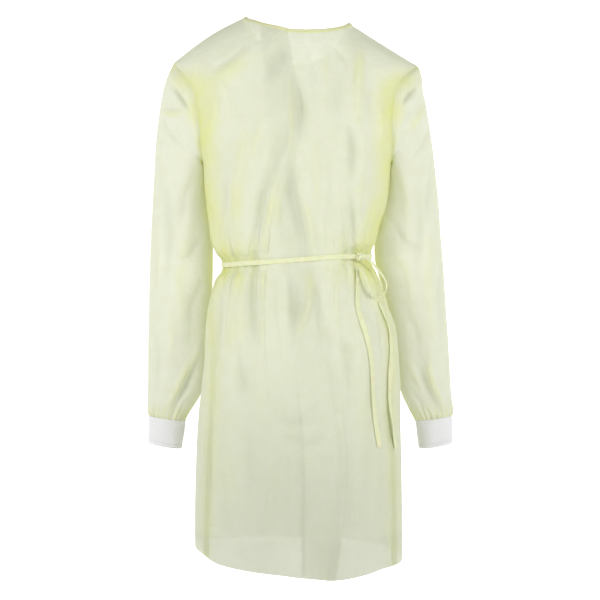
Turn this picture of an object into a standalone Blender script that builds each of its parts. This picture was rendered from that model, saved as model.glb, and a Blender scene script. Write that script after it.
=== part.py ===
# Isolation gown of thin yellow cloth, filled out as when worn and hollow inside.
# Metres, +Z up. The back, with its overlap, faces -Y. The origin lies midway between the two ends of the
# shoulder seams at the neck, where the shoulders carry the gown, and everything hangs below it.
import math

import bmesh
import bpy
import numpy as np

for old in list(bpy.data.objects):
    bpy.data.objects.remove(old, do_unlink=True)

# Cloth and seams
WALL = 0.0014
SEAM_GAP = 0.0005
SQUARENESS = 2.35
SHARP_DEGREES = 62
BACK, FRONT = -1, 1
LEFT, RIGHT = -1, 1

# Neck and shoulders for each side of the wearer. Columns: neck_x, neck_z, tip_x, tip_z, bow
SHOULDERS = {
    LEFT: (0.105, 0.0035, 0.244, -0.086, 0.008),
    RIGHT: (0.107, -0.0095, 0.237, -0.090, 0.002),
}
NECK_DIP = {BACK: 0.028, FRONT: 0.079}
NECK_ROUND = {BACK: 0.6, FRONT: 0.75}
NECK_SHARE = 0.42

# Armholes. Columns: drop from the shoulder tip to the underarm, half width on the left, on the right
UNDERARM_Z = -0.285
ARMHOLE_DEPTH = {BACK: 0.070, FRONT: 0.068}
ARMHOLE_STEPS = 10
ARMHOLES = (
    (0.00, 0.244, 0.237),
    (0.10, 0.226, 0.216),
    (0.20, 0.211, 0.200),
    (0.35, 0.199, 0.190),
    (0.60, 0.190, 0.185),
    (0.85, 0.187, 0.185),
    (1.00, 0.186, 0.186),
)

# Half depths of the body from its middle plane. Columns: z, to the back, to the front
DEPTHS = (
    (0.012, 0.000, 0.000),
    (0.000, 0.036, 0.034),
    (-0.010, 0.048, 0.047),
    (-0.030, 0.067, 0.069),
    (-0.065, 0.085, 0.091),
    (-0.120, 0.100, 0.108),
    (-0.200, 0.114, 0.119),
    (-0.285, 0.118, 0.120),
    (-0.366, 0.110, 0.112),
    (-0.440, 0.099, 0.102),
    (-0.474, 0.094, 0.097),
    (-0.516, 0.102, 0.103),
    (-0.570, 0.112, 0.111),
    (-0.676, 0.124, 0.122),
    (-0.800, 0.132, 0.130),
    (-0.920, 0.137, 0.135),
    (-1.080, 0.142, 0.140),
)

# Half widths of the body below the underarms. Columns: z, left, right
WIDTHS = (
    (-0.285, 0.186, 0.186),
    (-0.330, 0.183, 0.182),
    (-0.366, 0.179, 0.175),
    (-0.406, 0.174, 0.162),
    (-0.440, 0.169, 0.153),
    (-0.462, 0.160, 0.148),
    (-0.474, 0.152, 0.147),
    (-0.486, 0.148, 0.149),
    (-0.500, 0.151, 0.155),
    (-0.516, 0.161, 0.162),
    (-0.540, 0.169, 0.169),
    (-0.570, 0.176, 0.179),
    (-0.616, 0.182, 0.196),
    (-0.676, 0.185, 0.203),
    (-0.720, 0.190, 0.205),
    (-0.800, 0.197, 0.205),
    (-0.876, 0.201, 0.206),
    (-1.010, 0.205, 0.208),
    (-1.080, 0.205, 0.208),
)
SEAM_TURN = {LEFT: 65.0, RIGHT: 69.0}
SEAM_TURN_SPAN = 0.5

# Hem height all round. Columns: turn in degrees from the centre back, z
HEM_Z = -1.070
HEM_FREE_Z = -0.82
HEM = (
    (-180, -1.068),
    (-125, -1.062),
    (-90, -1.046),
    (-72, -1.054),
    (-55, -1.066),
    (28, -1.079),
    (48, -1.074),
    (62, -1.070),
    (90, -1.074),
    (125, -1.071),
    (180, -1.068),
)

# Free edges of the two back panels. Columns: z, x
OVER_EDGE = (
    (0.00, -0.018),
    (-0.021, -0.018),
    (-0.160, 0.000),
    (-0.221, 0.006),
    (-0.300, -0.005),
    (-0.395, 0.011),
    (-0.467, 0.023),
    (-0.550, 0.045),
    (-0.665, 0.070),
    (-0.780, 0.086),
    (-0.850, 0.092),
    (-0.970, 0.088),
    (-1.079, 0.074),
)
UNDER_EDGE = (
    (0.00, -0.068),
    (-0.160, -0.060),
    (-0.300, -0.045),
    (-0.467, -0.030),
    (-0.600, -0.012),
    (-0.750, 0.002),
    (-0.860, 0.0095),
    (-1.079, 0.0095),
)
# How far the left back panel stands off the right one. Columns: z, lap
LAPS = (
    (0.00, 0.0046),
    (-0.20, 0.0044),
    (-0.40, 0.0036),
    (-0.474, 0.0032),
    (-0.56, 0.0036),
    (-0.80, 0.0044),
    (-1.079, 0.0050),
)
LAP_RAMP = 0.022
LAP_AHEAD = 0.014
LAP_PAST = 0.004

# Belt. Columns: turn, z
TIE_WIDTH = 0.0095
TIE_THICK = 0.0012
TIE_GAP = 0.0007
TIE_PATH = (
    (-180, -0.480),
    (-90, -0.486),
    (-45, -0.479),
    (0, -0.473),
    (50, -0.467),
    (90, -0.470),
    (180, -0.480),
)
BELT_Z = -0.477
BELT_ROWS = 0.020
BELT_FREE = 0.110
TIE_STEPS = 72
TIE_PRESS = 0.022
TIE_FLAT = 0.007

# Gathers under the belt. Each is a trough, and reaches so far up and down from the belt.
# Columns: turn, width, depth, up, down, lean_up, lean_down
GATHERS = (
    (-79, 3.4, 0.0055, 0.050, 0.070, -6, -4),
    (-71, 3.2, 0.0070, 0.090, 0.120, -8, -2),
    (-62.5, 3.6, 0.0080, 0.060, 0.190, 6, -4),
    (-53.5, 3.4, 0.0065, 0.120, 0.100, 12, 2),
    (-45, 3.8, 0.0085, 0.075, 0.230, 4, 4),
    (51, 3.4, 0.0060, 0.080, 0.100, -6, -4),
    (59, 3.6, 0.0080, 0.130, 0.170, -8, 4),
    (67.5, 3.2, 0.0065, 0.060, 0.110, 2, 6),
    (75.5, 3.4, 0.0080, 0.100, 0.200, -4, 6),
    (84, 3.2, 0.0050, 0.045, 0.080, 6, 8),
    (-146, 4.0, 0.0060, 0.080, 0.150, 8, 4),
    (-134, 3.8, 0.0075, 0.120, 0.110, 10, -6),
    (-123, 3.8, 0.0060, 0.060, 0.180, 0, 6),
    (120, 3.8, 0.0065, 0.110, 0.120, -8, 2),
    (131, 3.8, 0.0075, 0.070, 0.190, -4, -6),
    (143, 4.2, 0.0055, 0.120, 0.130, -10, -2),
)

# Soft folds on the back and the front, each along three points (x, z).
# Columns: face, start, middle, end, width, height
FOLDS = (
    (BACK, (-0.075, -0.085), (-0.110, -0.110), (-0.140, -0.140), 0.014, 0.0064),
    (BACK, (-0.013, -0.125), (0.000, -0.175), (0.006, -0.225), 0.012, -0.0080),
    (BACK, (-0.026, -0.200), (-0.060, -0.330), (-0.080, -0.430), 0.014, -0.0088),
    (BACK, (-0.008, -0.250), (-0.012, -0.340), (0.016, -0.450), 0.013, -0.0080),
    (BACK, (0.125, -0.070), (0.108, -0.170), (0.112, -0.290), 0.014, 0.0072),
    (BACK, (0.112, -0.290), (0.110, -0.370), (0.104, -0.440), 0.012, 0.0064),
    (BACK, (0.090, -0.110), (0.082, -0.230), (0.086, -0.350), 0.013, -0.0056),
    (BACK, (-0.100, -0.230), (-0.115, -0.330), (-0.125, -0.430), 0.014, 0.0064),
    (BACK, (-0.087, -0.500), (-0.086, -0.560), (-0.090, -0.640), 0.012, -0.0080),
    (BACK, (0.021, -0.500), (0.020, -0.560), (-0.025, -0.620), 0.012, 0.0064),
    (BACK, (-0.118, -0.620), (-0.112, -0.700), (-0.106, -0.740), 0.014, -0.0056),
    (BACK, (-0.050, -0.770), (-0.010, -0.785), (0.050, -0.768), 0.011, -0.0048),
    (BACK, (-0.020, -0.815), (0.020, -0.825), (0.060, -0.812), 0.010, -0.0040),
    (BACK, (0.120, -0.640), (0.128, -0.760), (0.130, -0.900), 0.016, 0.0056),
    (BACK, (-0.130, -0.760), (-0.135, -0.880), (-0.128, -1.000), 0.018, 0.0064),
    (FRONT, (-0.060, -0.150), (-0.075, -0.280), (-0.100, -0.420), 0.016, -0.0072),
    (FRONT, (0.050, -0.140), (0.070, -0.270), (0.090, -0.410), 0.015, -0.0064),
    (FRONT, (-0.010, -0.200), (-0.004, -0.300), (0.006, -0.390), 0.018, 0.0064),
    (FRONT, (-0.080, -0.560), (-0.095, -0.680), (-0.100, -0.840), 0.018, 0.0072),
    (FRONT, (0.020, -0.540), (0.030, -0.640), (0.024, -0.760), 0.016, -0.0064),
    (FRONT, (0.100, -0.580), (0.115, -0.720), (0.118, -0.900), 0.018, 0.0064),
    (FRONT, (-0.020, -0.800), (-0.030, -0.900), (-0.028, -1.000), 0.020, -0.0056),
)

# How gathers lean, widen and end away from the belt, and swell between their troughs
GATHER_LEAN = 0.6
GATHER_SPREAD = 0.55
GATHER_REACH = 1.6
GATHER_SWELL = 0.45
GATHER_SIDES = 3
# Share of a fold's height left at its ends, and depth over which folds fade towards the side seams
FOLD_ENDS = 0.35
FOLD_FADE = 0.045

# Rows of the panels below the underarm. Columns: z, whether the gathers need many places along the row
LOW_ROWS = (
    (-1.070, False),
    (-1.000, False),
    (-0.920, False),
    (-0.850, False),
    (-0.800, False),
    (-0.750, False),
    (-0.700, False),
    (-0.655, False),
    (-0.620, True),
    (-0.585, True),
    (-0.555, True),
    (-0.528, True),
    (-0.508, True),
    (-0.494, True),
    (-0.482, True),
    (-0.472, True),
    (-0.460, True),
    (-0.444, True),
    (-0.420, True),
    (-0.390, True),
    (-0.345, False),
    (-0.285, False),
)
FINE_SPAN = {BACK: (0.44, 1.0), FRONT: (0.22, 0.80)}
FINE_STEPS = {BACK: 20, FRONT: 18}
SIDE_STEPS = 7
MIDDLE_STEP = 0.11
COLLAR_STEP = 0.055
EDGE_CLEAR = 0.018
EVEN_CLEAR = 0.35
FINE_CLEAR = 0.02
COLLAR_RISE = 0.75
AT_EDGE = 0.9999
MEAN_HALF = 0.17
MIDDLE_SHARES = np.linspace(-0.8, 0.8, 65)

# Sleeves, a row for each ring from the armhole down, with widths measured from the middle plane.
# Columns: out_left, in_left, out_right, in_right, out_z, in_z, middle_y, half_depth
RINGS = (
    (0.2500, 0.1888, 0.2425, 0.1888, -0.098, -0.2790, 0.002, 0.0700),
    (0.2580, 0.1910, 0.2480, 0.1910, -0.115, -0.2785, 0.006, 0.0690),
    (0.2655, 0.1922, 0.2505, 0.1922, -0.137, -0.2850, 0.012, 0.0675),
    (0.2725, 0.1916, 0.2575, 0.1912, -0.167, -0.2970, 0.019, 0.0655),
    (0.2785, 0.1902, 0.2645, 0.1896, -0.203, -0.3120, 0.026, 0.0630),
    (0.2835, 0.1882, 0.2715, 0.1876, -0.243, -0.3280, 0.032, 0.0605),
    (0.2870, 0.1860, 0.2775, 0.1850, -0.287, -0.3450, 0.037, 0.0580),
    (0.2900, 0.1835, 0.2830, 0.1805, -0.332, -0.3650, 0.041, 0.0560),
    (0.2930, 0.1790, 0.2880, 0.1725, -0.378, -0.3920, 0.045, 0.0540),
    (0.2962, 0.1740, 0.2915, 0.1655, -0.427, -0.4300, 0.048, 0.0520),
    (0.2988, 0.1722, 0.2970, 0.1652, -0.480, -0.4800, 0.051, 0.0500),
    (0.3010, 0.1722, 0.3010, 0.1740, -0.535, -0.5350, 0.053, 0.0485),
    (0.3025, 0.1745, 0.3050, 0.1860, -0.590, -0.5900, 0.055, 0.0465),
    (0.3040, 0.1780, 0.3090, 0.1960, -0.640, -0.6420, 0.057, 0.0450),
    (0.3048, 0.1825, 0.3120, 0.2030, -0.690, -0.6930, 0.059, 0.0430),
    (0.3055, 0.1885, 0.3145, 0.2090, -0.730, -0.7350, 0.060, 0.0410),
    (0.3062, 0.2040, 0.3170, 0.2200, -0.760, -0.7650, 0.061, 0.0375),
    (0.3065, 0.2180, 0.3190, 0.2320, -0.781, -0.7870, 0.062, 0.0335),
    (0.3055, 0.2265, 0.3192, 0.2405, -0.792, -0.8010, 0.062, 0.0300),
    (0.3040, 0.2285, 0.3180, 0.2426, -0.796, -0.8062, 0.062, 0.0285),
)
CAP_BULGES = (0.62, 0.42, 0.28, 0.17, 0.09, 0.04)
ARM_SQUARENESS = 2.15
CUFF_GATHERS = 11
CUFF_GATHER_DEPTH = 0.0022
FINE_RINGS = 4
SEAM_LEAN = 0.35
BESIDE_SEAM = 0.96
BELOW_SEAM = 0.01
FACING_DEPTH = 0.02

# Creases on the back of the sleeves. Columns: start, middle, end, width, height
SLEEVE_FOLDS = {
    LEFT: (
        ((-0.248, -0.125), (-0.232, -0.160), (-0.212, -0.195), 0.008, -0.0045),
        ((-0.262, -0.150), (-0.240, -0.200), (-0.215, -0.240), 0.010, 0.0035),
        ((-0.262, -0.300), (-0.255, -0.420), (-0.265, -0.540), 0.014, -0.0035),
        ((-0.215, -0.400), (-0.235, -0.500), (-0.232, -0.620), 0.013, 0.0035),
        ((-0.205, -0.690), (-0.225, -0.735), (-0.250, -0.785), 0.009, -0.0035),
        ((-0.240, -0.700), (-0.255, -0.745), (-0.270, -0.785), 0.009, 0.0030),
    ),
    RIGHT: (
        ((0.236, -0.128), (0.222, -0.150), (0.206, -0.175), 0.008, -0.0045),
        ((0.250, -0.180), (0.232, -0.220), (0.212, -0.260), 0.010, 0.0035),
        ((0.240, -0.300), (0.248, -0.420), (0.240, -0.520), 0.014, -0.0035),
        ((0.270, -0.380), (0.262, -0.500), (0.274, -0.640), 0.013, 0.0035),
        ((0.245, -0.690), (0.262, -0.735), (0.290, -0.785), 0.009, -0.0035),
        ((0.285, -0.700), (0.292, -0.740), (0.300, -0.785), 0.008, 0.0030),
    ),
}

# Knit cuffs. Columns: outer_x, outer_z, inner_x, inner_z
CUFF_TOP = {LEFT: (0.3040, -0.7966, 0.2285, -0.8068), RIGHT: (0.3180, -0.7966, 0.2426, -0.8068)}
CUFF_END = {LEFT: (0.3060, -0.8514, 0.2366, -0.8636), RIGHT: (0.3200, -0.8514, 0.2507, -0.8636)}
CUFF_Y = (0.062, 0.064)
CUFF_HALF_DEPTH = (0.0285, 0.0275)
CUFF_WALL = 0.0020
CUFF_RIBS = 40
RIB_RAISE = 0.0006
CUFF_INSIDE_STEPS = 20
# Columns: share of the length, raise, whether ribs are raised
CUFF_PROFILE = (
    (0.0, 0.0, False),
    (0.01, 0.0009, False),
    (0.045, 0.0009, False),
    (0.055, 0.0, True),
    (0.93, 0.0, True),
    (1.0, -0.0003, False),
)
CUFF_INSIDE = (0.0, 0.5, 1.0)

# Neck binding
BINDING_WIDTH = 0.0070
BINDING_RAISE = 0.0004
BINDING_ROUND = 0.0007

# Knot, bow loop and tie ends
KNOT_TURN = 62.0
KNOT_SIZE = (0.0085, 0.0058, 0.0115)
KNOT_RINGS = 9
KNOT_POINTS = 14
KNOT_SEAT = 0.0005
KNOT_FLAT = 0.45
KNOT_PITCH = (0.6, 9.2)
# Lumps of the knot. Columns: height, how many round it, how far they turn from end to end
KNOT_LUMPS = ((0.10, 2, 2.2), (0.05, 3, 0.0))
LOOP_STEP = 0.006
LOOP_WIDTH_WAY = (0.35, 1.0, 0.10)
END_STEP = 0.012
LOOP_PATH = (
    (0.1285, -0.0745, -0.4715),
    (0.1375, -0.0742, -0.4728),
    (0.1490, -0.0700, -0.4830),
    (0.1600, -0.0660, -0.4960),
    (0.1700, -0.0630, -0.5100),
    (0.1750, -0.0630, -0.5240),
    (0.1720, -0.0660, -0.5370),
    (0.1630, -0.0720, -0.5450),
    (0.1530, -0.0780, -0.5450),
    (0.1440, -0.0840, -0.5370),
    (0.1370, -0.0870, -0.5200),
    (0.1300, -0.0880, -0.5020),
    (0.1240, -0.0850, -0.4900),
)
# The two free ends on the back of the skirt. Columns: x, z
TIE_ENDS = {
    "tie_end_left": (
        (0.116, -0.4900),
        (0.114, -0.5200),
        (0.115, -0.5560),
        (0.122, -0.5900),
        (0.132, -0.6220),
        (0.140, -0.6550),
        (0.143, -0.6900),
        (0.1425, -0.7265),
        (0.147, -0.7810),
        (0.155, -0.8350),
    ),
    "tie_end_right": (
        (0.1560, -0.5580),
        (0.1640, -0.5800),
        (0.1720, -0.6000),
        (0.1790, -0.6250),
        (0.1815, -0.6550),
        (0.1790, -0.7000),
        (0.1790, -0.7450),
        (0.1850, -0.8050),
        (0.1920, -0.8420),
    ),
}
END_CLEAR = 0.0012

# Colours
CLOTH_YELLOW = (0.80, 0.83, 0.55, 1.0)
BINDING_YELLOW = (0.84, 0.86, 0.34, 1.0)
TIE_YELLOW = (0.86, 0.88, 0.38, 1.0)
CUFF_WHITE = (0.83, 0.83, 0.82, 1.0)
CLOTH_ROUGHNESS = 0.72
KNIT_ROUGHNESS = 0.90


def smooth_lookup(keys, values, at):
    """Reads a table smoothly: a cubic through its rows that never overshoots them."""
    order = np.argsort(keys)
    x = np.array(keys, float)[order]
    y = np.array(values, float)[order]
    at = np.clip(np.asarray(at, float), x[0], x[-1])
    step = np.diff(x)
    slope = np.diff(y) / step
    tangent = np.zeros(len(x))
    tangent[0] = slope[0]
    tangent[-1] = slope[-1]
    same_way = slope[:-1] * slope[1:] > 0
    harmonic = 2 * slope[:-1] * slope[1:] / np.where(same_way, slope[:-1] + slope[1:], 1.0)
    tangent[1:-1] = np.where(same_way, harmonic, 0.0)
    i = np.clip(np.searchsorted(x, at) - 1, 0, len(step) - 1)
    t = (at - x[i]) / step[i]
    start = (1 + 2 * t) * (1 - t) ** 2 * y[i] + t * (1 - t) ** 2 * step[i] * tangent[i]
    return start + t**2 * (3 - 2 * t) * y[i + 1] - t**2 * (1 - t) * step[i] * tangent[i + 1]


def column(table, number):
    return [row[number] for row in table]


def read(table, at, number=1):
    return smooth_lookup(column(table, 0), column(table, number), at)


def ease(share):
    """A smooth step from 0 to 1."""
    share = np.clip(share, 0, 1)
    return share * share * (3 - 2 * share)


def depth_at(z, face):
    return read(DEPTHS, z, 1 if face == BACK else 2)


def shoulder_line(side, share):
    """The shoulder seam, from the neck at 0 to the tip of the shoulder at 1: half width and height."""
    neck_x, neck_z, tip_x, tip_z, bow = SHOULDERS[side]
    x = neck_x + (tip_x - neck_x) * share
    return x, neck_z + (tip_z - neck_z) * share + bow * np.sin(np.pi * share)


def armhole_seam(side, face, share):
    """The armhole seam, from the shoulder tip at 0 to the underarm at 1: half width, depth and height."""
    tip_z = SHOULDERS[side][3]
    drop = (1 - np.cos(np.pi * share)) / 2
    x = read(ARMHOLES, drop, 1 if side == LEFT else 2)
    return x, ARMHOLE_DEPTH[face] * np.sin(np.pi * share), tip_z + (UNDERARM_Z - tip_z) * drop


def half_width(z, side, face):
    """Half width of the body's level section. Beside the armhole it is as wide as passes through the seam."""
    z = np.asarray(z, float)
    neck_x, neck_z, _, tip_z, _ = SHOULDERS[side]
    share = np.linspace(0, 1, 81)
    line_x, line_z = shoulder_line(side, share)
    above = np.interp(-z, -line_z, line_x)
    seam_x, seam_y, seam_z = armhole_seam(side, face, share)
    deep = (seam_y / depth_at(seam_z, face)) ** SQUARENESS
    beside = np.interp(-z, -seam_z, seam_x / (1 - deep) ** (1 / SQUARENESS))
    below = read(WIDTHS, z, 1 if side == LEFT else 2)
    return np.where(z > tip_z, above, np.where(z > UNDERARM_Z, beside, below))


def level_point(turn, z, side):
    """The plain body below the underarms at a turn in degrees from the centre back."""
    turn = math.radians(turn)
    face = BACK if math.cos(turn) > 0 else FRONT
    across = abs(math.sin(turn)) / float(half_width(z, side, face))
    along = abs(math.cos(turn)) / float(depth_at(z, face))
    reach = (across**SQUARENESS + along**SQUARENESS) ** (-1 / SQUARENESS)
    return np.array((side * reach * abs(math.sin(turn)), -reach * math.cos(turn), float(z)))


def depth_under(x, z, side, face):
    """Depth of the plain body under a place seen from the back or the front."""
    inside = np.clip(1 - (abs(x) / half_width(z, side, face)) ** SQUARENESS, 0, 1)
    return float(depth_at(z, face) * inside ** (1 / SQUARENESS))


def outward(point, side, face):
    """The plain body's outward direction."""
    x, y, z = point
    if abs(y) > 1e-6:
        face = BACK if y < 0 else FRONT
    tiny = 0.0005
    wide = float(half_width(z, side, face))
    deep = max(float(depth_at(z, face)), 1e-5)
    wide_slope = float(half_width(z + tiny, side, face) - half_width(z - tiny, side, face)) / (2 * tiny)
    deep_slope = float(depth_at(z + tiny, face) - depth_at(z - tiny, face)) / (2 * tiny)
    across = (abs(x) / wide) ** (SQUARENESS - 1) / wide
    along = (abs(y) / deep) ** (SQUARENESS - 1) / deep
    rise = -(across * abs(x) / wide * wide_slope + along * abs(y) / deep * deep_slope)
    way = np.array((side * across, (1 if y > 0 else -1) * along, rise))
    return way / np.linalg.norm(way)


def off_path(x, z, points):
    """Distance of a place from a bent line, and how far along it the nearest point lies, from 0 to 1."""
    best = (1e9, 0.0)
    place = np.array((x, z))
    for i in range(len(points) - 1):
        start = np.array(points[i])
        run = np.array(points[i + 1]) - start
        share = float(np.clip(np.dot(place - start, run) / np.dot(run, run), 0, 1))
        distance = float(np.linalg.norm(place - start - share * run))
        if distance < best[0]:
            best = (distance, (i + share) / (len(points) - 1))
    return best


def fold_raise(x, z, start, middle, end, width, height):
    """How far a soft fold moves the cloth, fading out at both its ends."""
    distance, along = off_path(x, z, (start, middle, end))
    ends = FOLD_ENDS + (1 - FOLD_ENDS) * math.sin(math.pi * along)
    return height * math.exp(-((distance / width) ** 2)) * ends


def belt_z(turn):
    return read(TIE_PATH, turn)


def cloth_raise(point):
    """How far the folds and gathers move the cloth outwards from the plain body."""
    x, y, z = point
    face = BACK if y < 0 else FRONT
    raised = 0.0
    fade = float(ease(abs(y) / FOLD_FADE))
    for row in FOLDS:
        if row[0] == face:
            raised += fade * fold_raise(x, z, *row[1:])
    if z < UNDERARM_Z:
        turn = math.degrees(math.atan2(x, -y))
        above_belt = z - float(belt_z(turn))
        pressed = float(1 - ease((abs(above_belt) - TIE_FLAT) / TIE_PRESS))
        raised = min(raised, raised * (1 - pressed))
        for at, width, depth, up, down, lean_up, lean_down in GATHERS:
            reach = up if above_belt > 0 else down
            share = abs(above_belt) / reach
            centre = at + (lean_up if above_belt > 0 else lean_down) * share * GATHER_LEAN
            spread = width * (1 + GATHER_SPREAD * share)
            away = abs(turn - centre) / spread
            if share < GATHER_REACH and away < GATHER_SIDES:
                fading = float(1 - ease(share / GATHER_REACH))
                raised += depth * fading * (GATHER_SWELL * (1 - pressed) - math.exp(-away * away))
    return raised


def lap_raise(point):
    """How far the left back panel stands off the right one where it laps over it."""
    x, _, z = point
    ramp = ease((x - float(read(UNDER_EDGE, z)) + LAP_RAMP + LAP_AHEAD) / LAP_RAMP)
    return float(read(LAPS, z) * ramp)


def seam_turn(z, side):
    """Turn of the side seam from the centre back, in degrees."""
    return 90 - (90 - SEAM_TURN[side]) * float(ease((UNDERARM_Z - z) / SEAM_TURN_SPAN))


def row_height(z, turn):
    """A row's height at a turn: rows near the hem take its shape, and rows near the belt take the belt's."""
    hem_near = 1 - float(ease((z - HEM_Z) / (HEM_FREE_Z - HEM_Z)))
    belt_near = 1 - float(ease((abs(z - BELT_Z) - BELT_ROWS) / BELT_FREE))
    z += hem_near * (float(read(HEM, turn)) - HEM_Z)
    return z + belt_near * (float(belt_z(turn)) - BELT_Z)


def low_place(face, share, z, gap=0.0):
    """A panel's plain point below the underarm. share runs from -1 at the left seam to 1 at the right one."""
    side = LEFT if share < 0 else RIGHT
    seam = seam_turn(z, side)
    span = seam if face == BACK else 180 - seam
    turn = side * (abs(share) * (span - gap) if face == BACK else 180 - abs(share) * (span - gap))
    return level_point(turn, row_height(z, turn), side), side


def neck_height(x, face):
    """Height of the neckline at a place across the neck."""
    side = LEFT if x < 0 else RIGHT
    left_x, left_z = SHOULDERS[LEFT][:2]
    right_x, right_z = SHOULDERS[RIGHT][:2]
    straight = left_z + (right_z - left_z) * (x + left_x) / (left_x + right_x)
    round_off = max(1 - (abs(x) / SHOULDERS[side][0]) ** 2, 0.0) ** NECK_ROUND[face]
    return straight - NECK_DIP[face] * round_off


def top_place(face, share):
    """A panel's top edge at a share: the neckline in the middle, the shoulder seams beside it."""
    side = LEFT if share < 0 else RIGHT
    if abs(share) < NECK_SHARE:
        x = side * SHOULDERS[side][0] * math.sin(math.pi / 2 * abs(share) / NECK_SHARE)
        return x, neck_height(x, face)
    x, z = shoulder_line(side, (abs(share) - NECK_SHARE) / (1 - NECK_SHARE))
    return side * float(x), float(z)


def high_place(face, share, rise):
    """A panel's plain point above the underarm. rise runs from 0 at the underarm to 1 at the top edge."""
    side = LEFT if share < 0 else RIGHT
    low, _ = low_place(face, share, UNDERARM_Z)
    edge_low, _ = low_place(face, side, UNDERARM_Z)
    top_x, top_z = top_place(face, share)
    tip_x, _ = top_place(face, side)
    seam_share = math.acos(1 - 2 * (1 - rise)) / math.pi
    seam_x, seam_y, seam_z = armhole_seam(side, face, seam_share)
    bulge = side * float(seam_x) - (edge_low[0] + (tip_x - edge_low[0]) * rise)
    x = low[0] + (top_x - low[0]) * rise + bulge * abs(share) ** 3
    z = UNDERARM_Z + (top_z - UNDERARM_Z) * rise
    if abs(share) > AT_EDGE:
        return np.array((side * float(seam_x), face * float(seam_y), float(seam_z))), side
    depth = depth_under(x, z, side, face)
    if rise > AT_EDGE and abs(share) >= NECK_SHARE:
        depth = 0.0
    return np.array((x, face * depth, z)), side


class Row:
    """A row of a panel: a level below the underarm, or a rise above it."""

    def __init__(self, z=None, rise=None, fine=False):
        self.z = z
        self.rise = rise
        self.fine = fine
        self.collar = rise is not None and rise > COLLAR_RISE

    def place(self, face, share):
        if self.rise is None:
            point, side = low_place(face, share, self.z, gap=math.degrees(SEAM_GAP / 2 / MEAN_HALF))
        else:
            point, side = high_place(face, share, self.rise)
        return point + np.array((0, face * SEAM_GAP / 2, 0)), side

    def share_of(self, x):
        """The share at which the back's row passes a place across."""
        across = [self.place(BACK, share)[0][0] for share in MIDDLE_SHARES]
        return float(np.interp(x, across, MIDDLE_SHARES))


def panel_rows():
    rows = [Row(z=z, fine=fine) for z, fine in LOW_ROWS]
    for k in range(1, ARMHOLE_STEPS + 1):
        rows.append(Row(rise=(1 - math.cos(math.pi * k / ARMHOLE_STEPS)) / 2))
    return rows


def side_shares(face, fine):
    """Shares on one side of a panel from the neck to the seam."""
    coarse = [NECK_SHARE + (1 - NECK_SHARE) * k / SIDE_STEPS for k in range(SIDE_STEPS + 1)]
    if not fine:
        return coarse
    start, end = FINE_SPAN[face]
    dense = [start + (end - start) * k / FINE_STEPS[face] for k in range(FINE_STEPS[face] + 1)]
    outside = [s for s in coarse if s < start - FINE_CLEAR or s > end + FINE_CLEAR]
    return sorted(dense + outside)


def even_shares(last, collar):
    """Even shares across the middle of a panel, short of a last one on either side."""
    step = COLLAR_STEP if collar else MIDDLE_STEP
    count = int((last - EVEN_CLEAR * step) / step)
    return [k * step for k in range(-count, count + 1)]


def row_shares(name, row):
    """Shares of a panel's columns in a row. The two back panels have the same ones where they lap."""
    side = side_shares(FRONT if name == "front" else BACK, row.fine)
    shares = [-s for s in reversed(side)] + even_shares(side[0], row.collar) + side
    if name == "front":
        return shares
    level = row.place(BACK, 0.0)[0][2]
    under = row.share_of(float(read(UNDER_EDGE, level)))
    over = row.share_of(float(read(OVER_EDGE, level)))
    shares = [s for s in shares if min(abs(s - under), abs(s - over)) > EDGE_CLEAR]
    shares = sorted(shares + [under, over])
    if name == "back_left":
        return [s for s in shares if s <= over]
    return [s for s in shares if s >= under]


def cloth_point(point, side, face, over, deeper=0.0):
    """A point of the folded cloth, moved in by deeper. over adds the stand-off of the lapping panel."""
    raised = cloth_raise(point) - deeper
    if over:
        raised += lap_raise(point)
    return point + outward(point, side, face) * raised


def strip(faces, first, first_at, second, second_at):
    """Joins two rows of points with triangles, in the order of their places along the rows."""
    i = j = 0
    while i < len(first) - 1 or j < len(second) - 1:
        ahead = j >= len(second) - 1
        if not ahead and i < len(first) - 1:
            ahead = first_at[i] + first_at[i + 1] <= second_at[j] + second_at[j + 1]
        if ahead:
            faces.append((first[i], first[i + 1], second[j]))
            i += 1
        else:
            faces.append((first[i], second[j + 1], second[j]))
            j += 1


def material_of(piece, colour, roughness):
    """A piece's own plain material."""
    made = bpy.data.materials.new(piece + "_cloth")
    made.use_nodes = True
    surface = made.node_tree.nodes["Principled BSDF"]
    surface.inputs["Base Color"].default_value = colour
    surface.inputs["Roughness"].default_value = roughness
    surface.inputs["Metallic"].default_value = 0.0
    return made


def new_object(name, points, faces, colour, roughness):
    """One closed body with its faces out and its own material."""
    mesh = bpy.data.meshes.new(name)
    mesh.from_pydata([tuple(p) for p in points], [], faces)
    shape = bmesh.new()
    shape.from_mesh(mesh)
    bmesh.ops.recalc_face_normals(shape, faces=shape.faces)
    shape.to_mesh(mesh)
    shape.free()
    mesh.shade_smooth()
    mesh.set_sharp_from_angle(angle=math.radians(SHARP_DEGREES))
    mesh.materials.append(material_of(name, colour, roughness))
    made = bpy.data.objects.new(name, mesh)
    bpy.context.scene.collection.objects.link(made)
    return made


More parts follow.
